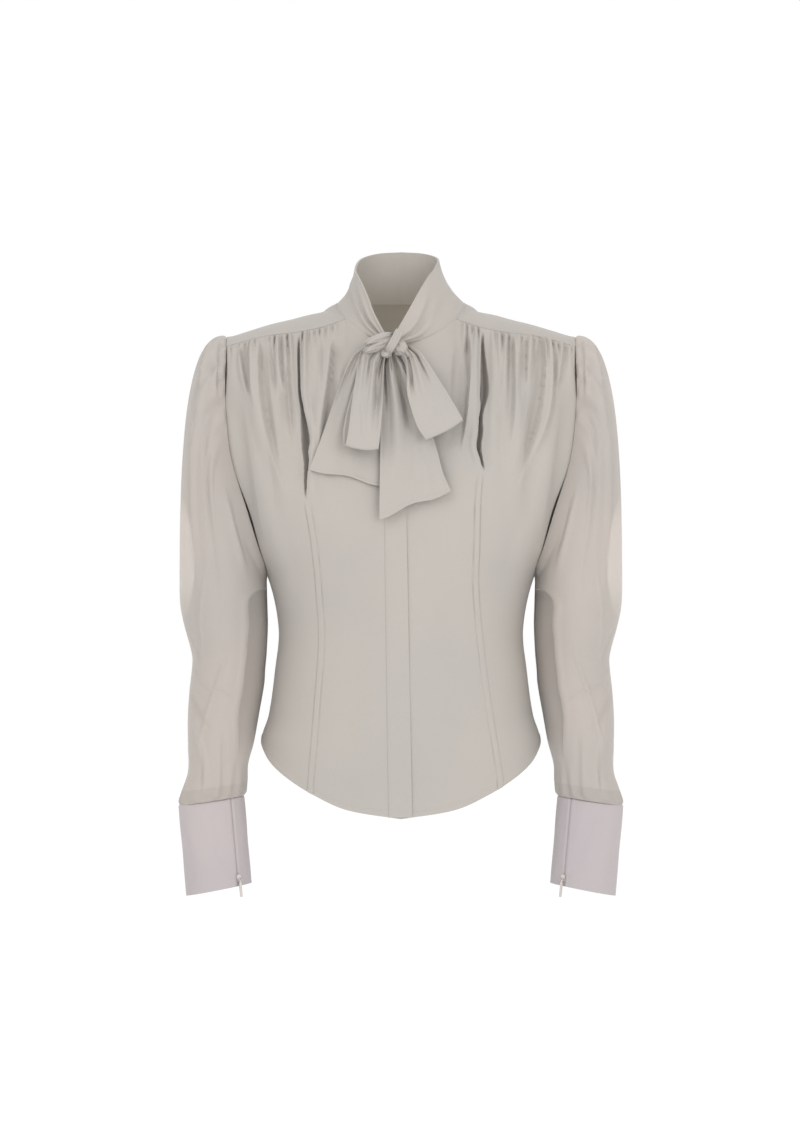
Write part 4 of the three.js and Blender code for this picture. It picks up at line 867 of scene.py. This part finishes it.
sleeveSizes = {
    "columns": 168, "headEnd": 0.4, "tucked": -0.2, "gatherHalf": 0.017, "cuffGathers": 12, "cuffHigh": 1.8,
    "flat": (0.42, 0.6), "area": 0.165,
}
sleeveRows = table("z outer inner slant y depth",
    (-312, 248, 150, 0, 3, 66), (-330, 247, 149.5, 0, 3.5, 65), (-350, 243, 149, 0, 4, 62),
    (-384, 234, 150.5, -2, 5, 57), (-401, 234.5, 152, -3, 4, 56), (-418, 236.5, 153, -4, 2, 55),
    (-451, 238.5, 158.5, -5, -4, 52), (-485, 238, 164.5, -6, -11, 47), (-510, 237.5, 171, -8, -17, 41),
    (-527, 242.5, 172, -10, -20, 37), (-540, 246.5, 173.5, -11, -21.5, 33), (-546, 247, 175, -11, -22, 30))
headRows = table("w x y z length drop",  # how the head leaves the armhole, from the shoulder to the underarm
    (0, 1, 0, 0.26, 54, 122), (0.12, 0.88, -0.42, 0.12, 46, 104), (0.25, 0.74, -0.58, -0.02, 38, 84),
    (0.38, 0.62, -0.46, -0.35, 24, 44), (0.46, 0.4, -0.2, -0.8, 9, 12), (0.5, 0.22, 0, -0.97, 5, 5))
headGathers = table("w height run",
    (-0.2, 1.6, 0.1), (-0.155, 2.2, 0.16), (-0.115, 2.4, 0.2), (-0.08, 2, 0.14), (-0.045, 2.8, 0.22),
    (-0.01, 2.2, 0.16), (0.025, 2.8, 0.24), (0.06, 2, 0.14), (0.095, 2.6, 0.22), (0.135, 2, 0.16),
    (0.175, 1.8, 0.14))


def armholeLoop():
    # the armhole from the shoulder by the front and the underarm to the back, halfway round at the underarm
    under, top, long = bodySizes["underarm"], 6, 60
    shoulder = yokePoint(1, np.linspace(0, 1, 25))
    frontEdge = frontPoint(1, np.linspace(-40, under + 1, long))
    backEdge = section("back", np.linspace(bodySizes["yokeBack"], under + 1, 50), 1)
    lowest = xyz(read(bodyRows, under, "full"), 0, under)[None]
    points = np.concatenate([shoulder[top::-1], frontEdge[1:], lowest, backEdge[::-1], shoulder[-2:top:-1]])
    steps = np.linalg.norm(np.roll(points, -1, 0) - points, axis=1)
    walked = np.append(0, np.cumsum(steps))
    lowAt = top + long
    w = np.where(np.arange(len(points)) <= lowAt, 0.5 * walked[:-1] / walked[lowAt],
                 0.5 + 0.5 * (walked[:-1] - walked[lowAt]) / (walked[-1] - walked[lowAt]))
    return np.append(w, 1), np.concatenate([points, points[:1]])


loopPlaces, loopPoints = armholeLoop()


def sleeveRing(z, w):
    out = np.cos(2 * math.pi * w)
    outer, inner = read(sleeveRows, z, "outer"), read(sleeveRows, z, "inner")
    y = read(sleeveRows, z, "y") - read(sleeveRows, z, "depth") * np.sin(2 * math.pi * w)
    return xyz((outer + inner) / 2 + out * (outer - inner) / 2, y, z + out * read(sleeveRows, z, "slant") / 2)


def sleevePoint(w, v):
    headEnd = sleeveSizes["headEnd"]
    first, last = sleeveRows["z"][0], sleeveRows["z"][-1]
    turn = w - np.floor(w)
    at = np.minimum(turn, 1 - turn)
    leave = place(headRows, at)
    leave[..., 1] *= np.where(turn > 0.5, -1, 1)
    leave = unit(leave)
    start = xyz(*(np.interp(turn, loopPlaces, loopPoints[:, k]) for k in range(3)))
    start = start + leave * sleeveSizes["tucked"]
    end = sleeveRing(first, w)
    second = start + leave * read(headRows, at, "length")[..., None]
    third = end + xyz(0, 0, read(headRows, at, "drop"))
    head = bezier(np.clip(v / headEnd, 0, 1), start, second, third, end)
    arm = sleeveRing(mix(first, last, np.clip((v - headEnd) / (1 - headEnd), 0, 1)), w)
    return np.where((v < headEnd)[..., None], head, arm)


sleeveFolds = table("w0 v0 w1 v1 high half",  # soft folds round and along the sleeve
    (0.1, 0.1, 0.16, 0.42, 3, 0.03), (0.2, 0.14, 0.24, 0.46, -2.4, 0.024),
    (0.3, 0.1, 0.34, 0.36, 2.6, 0.028), (0.02, 0.14, 0.04, 0.4, -2.2, 0.022),
    (-0.08, 0.1, -0.1, 0.42, 2.8, 0.03), (-0.2, 0.12, -0.22, 0.44, -2.4, 0.026),
    (-0.32, 0.1, -0.34, 0.4, 2.6, 0.03), (0.05, 0.62, 0.3, 0.72, 2.2, 0.03),
    (0.02, 0.66, 0.2, 0.8, -2.4, 0.026), (0.1, 0.74, 0.22, 0.97, 2.6, 0.03),
    (0.26, 0.8, 0.3, 0.98, -2.2, 0.022), (-0.06, 0.62, -0.28, 0.7, 2.4, 0.03),
    (-0.05, 0.68, -0.22, 0.8, -2.2, 0.026), (-0.12, 0.76, -0.2, 0.98, 2.4, 0.03),
    (0.075, 0.02, 0.1, 0.17, -5, 0.02), (0.125, 0.02, 0.13, 0.24, 3.6, 0.026),
    (0.175, 0.02, 0.18, 0.2, -3, 0.016), (0.02, 0.02, 0.02, 0.15, -4, 0.022),
    (-0.05, 0.02, -0.05, 0.2, 3, 0.024), (-0.1, 0.02, -0.11, 0.2, -4, 0.018),
    (0.1, 0.2, 0.15, 0.42, -2.6, 0.014), (0.22, 0.03, 0.23, 0.34, 2.6, 0.02),
    (0.06, 0.5, 0.12, 0.62, -1.8, 0.014), (0.25, 0.56, 0.13, 0.88, 2.2, 0.014),
    (0.16, 0.84, 0.19, 1, -1.8, 0.012), (0.19, 0.36, 0.12, 0.62, 2.4, 0.012))


underRows = table("v w deep",  # the edge under which the sleeve's inner side is folded away
    (0.38, 0.47, 0), (0.405, 0.4, 5), (0.43, 0.362, 7), (0.5, 0.352, 7.5), (0.67, 0.336, 7),
    (0.78, 0.335, 5), (0.88, 0.36, 0))

headLaps = table("x0 z0 x1 z1 x2 z2 high soft side",  # on the front of the head
    (211, -36, 219.5, -71, 227.5, -126, 7, 12, 1), (203, -34, 205, -60, 206, -100, 2.2, 6, -1))

# past this line the sleeve's colour is also painted lighter, as painted light
thinRows = table("z x",  # past this line the sleeve is a single thin layer
    (-150, 262), (-200, 248), (-212, 241), (-247, 232), (-270, 228), (-299, 229.5), (-335, 237),
    (-348, 246), (-400, 262))


def sleeveRelief(w, near, v, plain):
    total = 0
    for at, height, run in zip(*headGathers.values()):
        half = sleeveSizes["gatherHalf"] * (1 + v / 0.12)
        total = total + height * fade(v, run) * hill((near - at) / half)
        total = total - 0.7 * height * fade(v, run * 0.8) * nick((near - at - half * 0.95) / (half * 0.6))
    total = total * smooth(v, 0, 0.012)
    total = total + gridFolds(sleeveFolds, near, v, (-0.1, 0.3), (0.6, 1.1))
    low = fade(1 - v, 0.13) * smooth(1 - v, 0, 0.012)
    waves = np.cos(2 * math.pi * sleeveSizes["cuffGathers"] * w + 1.6 * np.sin(6 * math.pi * w))
    lap = read(underRows, v, "w") + 0.004 * wander(v * 3, 9)
    under = smooth(near, lap - 0.003, lap + 0.006) * (1 - 0.75 * smooth(near, lap + 0.03, 0.5))
    lip = hill((near - lap + 0.022) / 0.024)
    reach = read(underRows, v, "deep")
    onFront = smooth(near, 0.005, 0.03) * (1 - smooth(near, 0.3, 0.4))
    total = total + onFront * lappedFolds(headLaps, plain[..., 0], plain[..., 2])
    total = total - 2.2 * nick(v / 0.022) * hill((near - 0.08) / 0.07)
    return total + sleeveSizes["cuffHigh"] * low * waves + reach * (0.18 * lip - under)


def sleeve(name):
    side = sides[name]
    v = stations((0, 0.05, 12), (0.05, 0.4, 66), (0.4, 0.9, 70), (0.9, 1, 26))[:, None]
    w = np.linspace(0, 1, sleeveSizes["columns"], endpoint=False)[None, :]
    w, v = np.broadcast_arrays(w, v)
    near = np.where(w > 0.5, w - 1, w)  # how far round from the outside of the arm, less than 0 at the back
    plain = sleevePoint(w, v)
    x, z = plain[..., 0], plain[..., 2]
    # the thin patch and a strip down the outer side of the arm are painted light: besides showing more
    # through, their colour is made lighter
    thinAndPaintedLight = smooth(x - read(thinRows, z, "x"), -1, 2.5) * smooth(near, -0.15, 0.06)  # fades towards the back
    thinAndPaintedLight = thinAndPaintedLight * smooth(-z, 192, 245) * (1 - smooth(-z, 292, 360)) + 0.2 * hill(near / 0.09)
    # the seam band above the cuff is painted shade: its colour is made darker
    doubled = smooth(v, 0.958, 0.966)  # the seam band above the cuff
    densityAndPaintedLight = np.clip(0.8 - 0.72 * np.clip(thinAndPaintedLight, 0, 1) * (1 - smooth(v, 0.9, 0.96)) + doubled, 0, 1)
    relief = sleeveRelief(w, near, v, plain)
    piece = shell(f"sleeve.{name}", mirrored(plain, side), relief, bodySizes["cloth"], side, chiffon,
                  closed=True, densityAndPaintedLight=densityAndPaintedLight)
    sewOn(piece, f"sleeve_{name}")


for name in sides:
    sleeve(name)

# The cuffs

cuffSizes = {"columns": 150, "wall": 1.6, "zipAt": 0.355, "gap": 0.12, "flat": (0.215, 0.1)}
cuffRows = table("v outer outerZ inner innerZ y depth",
    (0, 248, -552, 175, -541.5, -22, 29), (1, 240, -652, 166, -637.5, -26, 29.5))


def cuffPoint(w, v):
    value = lambda column: mix(cuffRows[column][0], cuffRows[column][1], v)
    out = np.cos(2 * math.pi * w)
    x = (value("outer") + value("inner")) / 2 + out * (value("outer") - value("inner")) / 2
    y = value("y") - value("depth") * np.sin(2 * math.pi * w)
    return xyz(x, y, (value("outerZ") + value("innerZ")) / 2 + out * (value("outerZ") - value("innerZ")) / 2)


cuffFolds = table("w0 v0 w1 v1 high half",
    (0.1, 0.05, 0.2, 0.95, 1.8, 0.07), (0.24, 0, 0.3, 0.9, -1.6, 0.05),
    (-0.1, 0.1, -0.2, 0.9, 1.3, 0.05), (-0.3, 0.1, -0.26, 0.9, -1.2, 0.06),
    (0.04, 0.3, 0.12, 1, -1.2, 0.05))


def cuff(name):
    side = sides[name]
    around = math.pi * (cuffRows["outer"][0] - cuffRows["inner"][0])
    start, half = cuffSizes["zipAt"], cuffSizes["gap"] / around / 2
    w = np.linspace(start + half, start + 1 - half, cuffSizes["columns"] + 1)[None, :]
    v = stations((-0.015, 0.06, 9), (0.06, 0.94, 40), (0.94, 1, 6))[:, None]
    w, v = np.broadcast_arrays(w, v)
    near = np.where(w > 0.855, w - 1, w)
    relief = 0.5 * wander(near * 2 + v * 0.6, 41)
    relief = relief - 1.3 * (1 - smooth(v, -0.012, 0.006))  # its top is let into the sleeve
    relief = relief + gridFolds(cuffFolds, near, v, (-0.1, 0.4), (0.5, 1.1))
    toZip = np.minimum(np.abs(w - start), np.abs(w - start - 1)) * around
    relief = relief - 0.6 * (1 - smooth(toZip, 0.1, 1.2)) + 0.5 * hill((toZip - 3.5) / 3)
    relief = relief - 0.25 * nick((v - 0.965) / 0.012)
    piece = shell(f"cuff.{name}", mirrored(cuffPoint(w, v), side), relief, cuffSizes["wall"], side, satin)
    sewOn(piece, f"cuff_{name}")


for name in sides:
    cuff(name)

# The zips' metal

for name in sides:
    for node in (f"zip_slider_{name}", f"zip_tab_{name}"):
        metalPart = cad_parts[node]
        metalPart.data.materials.clear()
        metalPart.data.materials.append(zipMetal)

# Floor, light and camera

photoSizes = {"middle": (-1, -284.5), "tall": 1268, "sensor": 36, "lens": 180}
stageSizes = {"floorZ": -1.02, "floorRadius": 14, "worldLight": 1.0}


def stage():
    bpy.ops.object.select_all(action="DESELECT")
    bpy.ops.mesh.primitive_circle_add(vertices=96, radius=stageSizes["floorRadius"], fill_type="NGON",
                                      location=(0, 0, stageSizes["floorZ"]))
    floor = bpy.context.object
    floor.name = "floor"
    floor.data.materials.append(newMaterial("pale floor", (0.9, 0.9, 0.9), 0.9, {
        "Emission Color": (1, 1, 1, 1), "Emission Strength": 0.12, "Specular IOR Level": 0.1})[0])
    world = bpy.data.worlds.new("white studio")
    bpy.context.scene.world = world
    world.use_nodes = True
    background = world.node_tree.nodes["Background"]
    setInputs(background, {"Color": (1, 1, 1, 1), "Strength": stageSizes["worldLight"]})


softboxes = table("x y z size power aimX aimY aimZ green blue",  # the last one is inside the neck
    (-1.5, -2.4, 1.5, 1.6, 20, 0, 0, -0.28, 1, 1), (1.3, -2.5, 0.3, 1.4, 19, 0, 0, -0.28, 1, 1),
    (0, 1.8, 1.8, 1.6, 8, 0, 0, -0.28, 1, 1), (0, -0.02, -0.16, 0.12, 0.115, 0, 0.07, 0.02, 0.93, 0.78))


def lights():
    for number, (x, y, z, size, power, aimX, aimY, aimZ, green, blue) in enumerate(zip(*softboxes.values())):
        light = bpy.data.lights.new(f"softbox{number}", "AREA")
        light.size, light.energy = size, power
        light.color = (1, green, blue)
        lamp = bpy.data.objects.new(f"softbox{number}", light)
        lamp.location = (x, y, z)
        lamp.rotation_euler = (Vector((aimX, aimY, aimZ)) - lamp.location).to_track_quat("-Z", "Y").to_euler()
        bpy.context.scene.collection.objects.link(lamp)


def camera():
    lens = bpy.data.cameras.new("camera")
    lens.sensor_width, lens.sensor_height = photoSizes["sensor"], photoSizes["sensor"]
    lens.lens = photoSizes["lens"]
    distance = photoSizes["tall"] * mm * photoSizes["lens"] / photoSizes["sensor"]
    eye = bpy.data.objects.new("camera", lens)
    x, z = (value * mm for value in photoSizes["middle"])
    eye.location = (x, -distance, z)
    eye.rotation_euler = (math.radians(90), 0, 0)
    bpy.context.scene.collection.objects.link(eye)
    bpy.context.scene.camera = eye
    bpy.context.scene.view_settings.view_transform = "Standard"


stage()
lights()
camera()
print("floor, lights and camera placed")
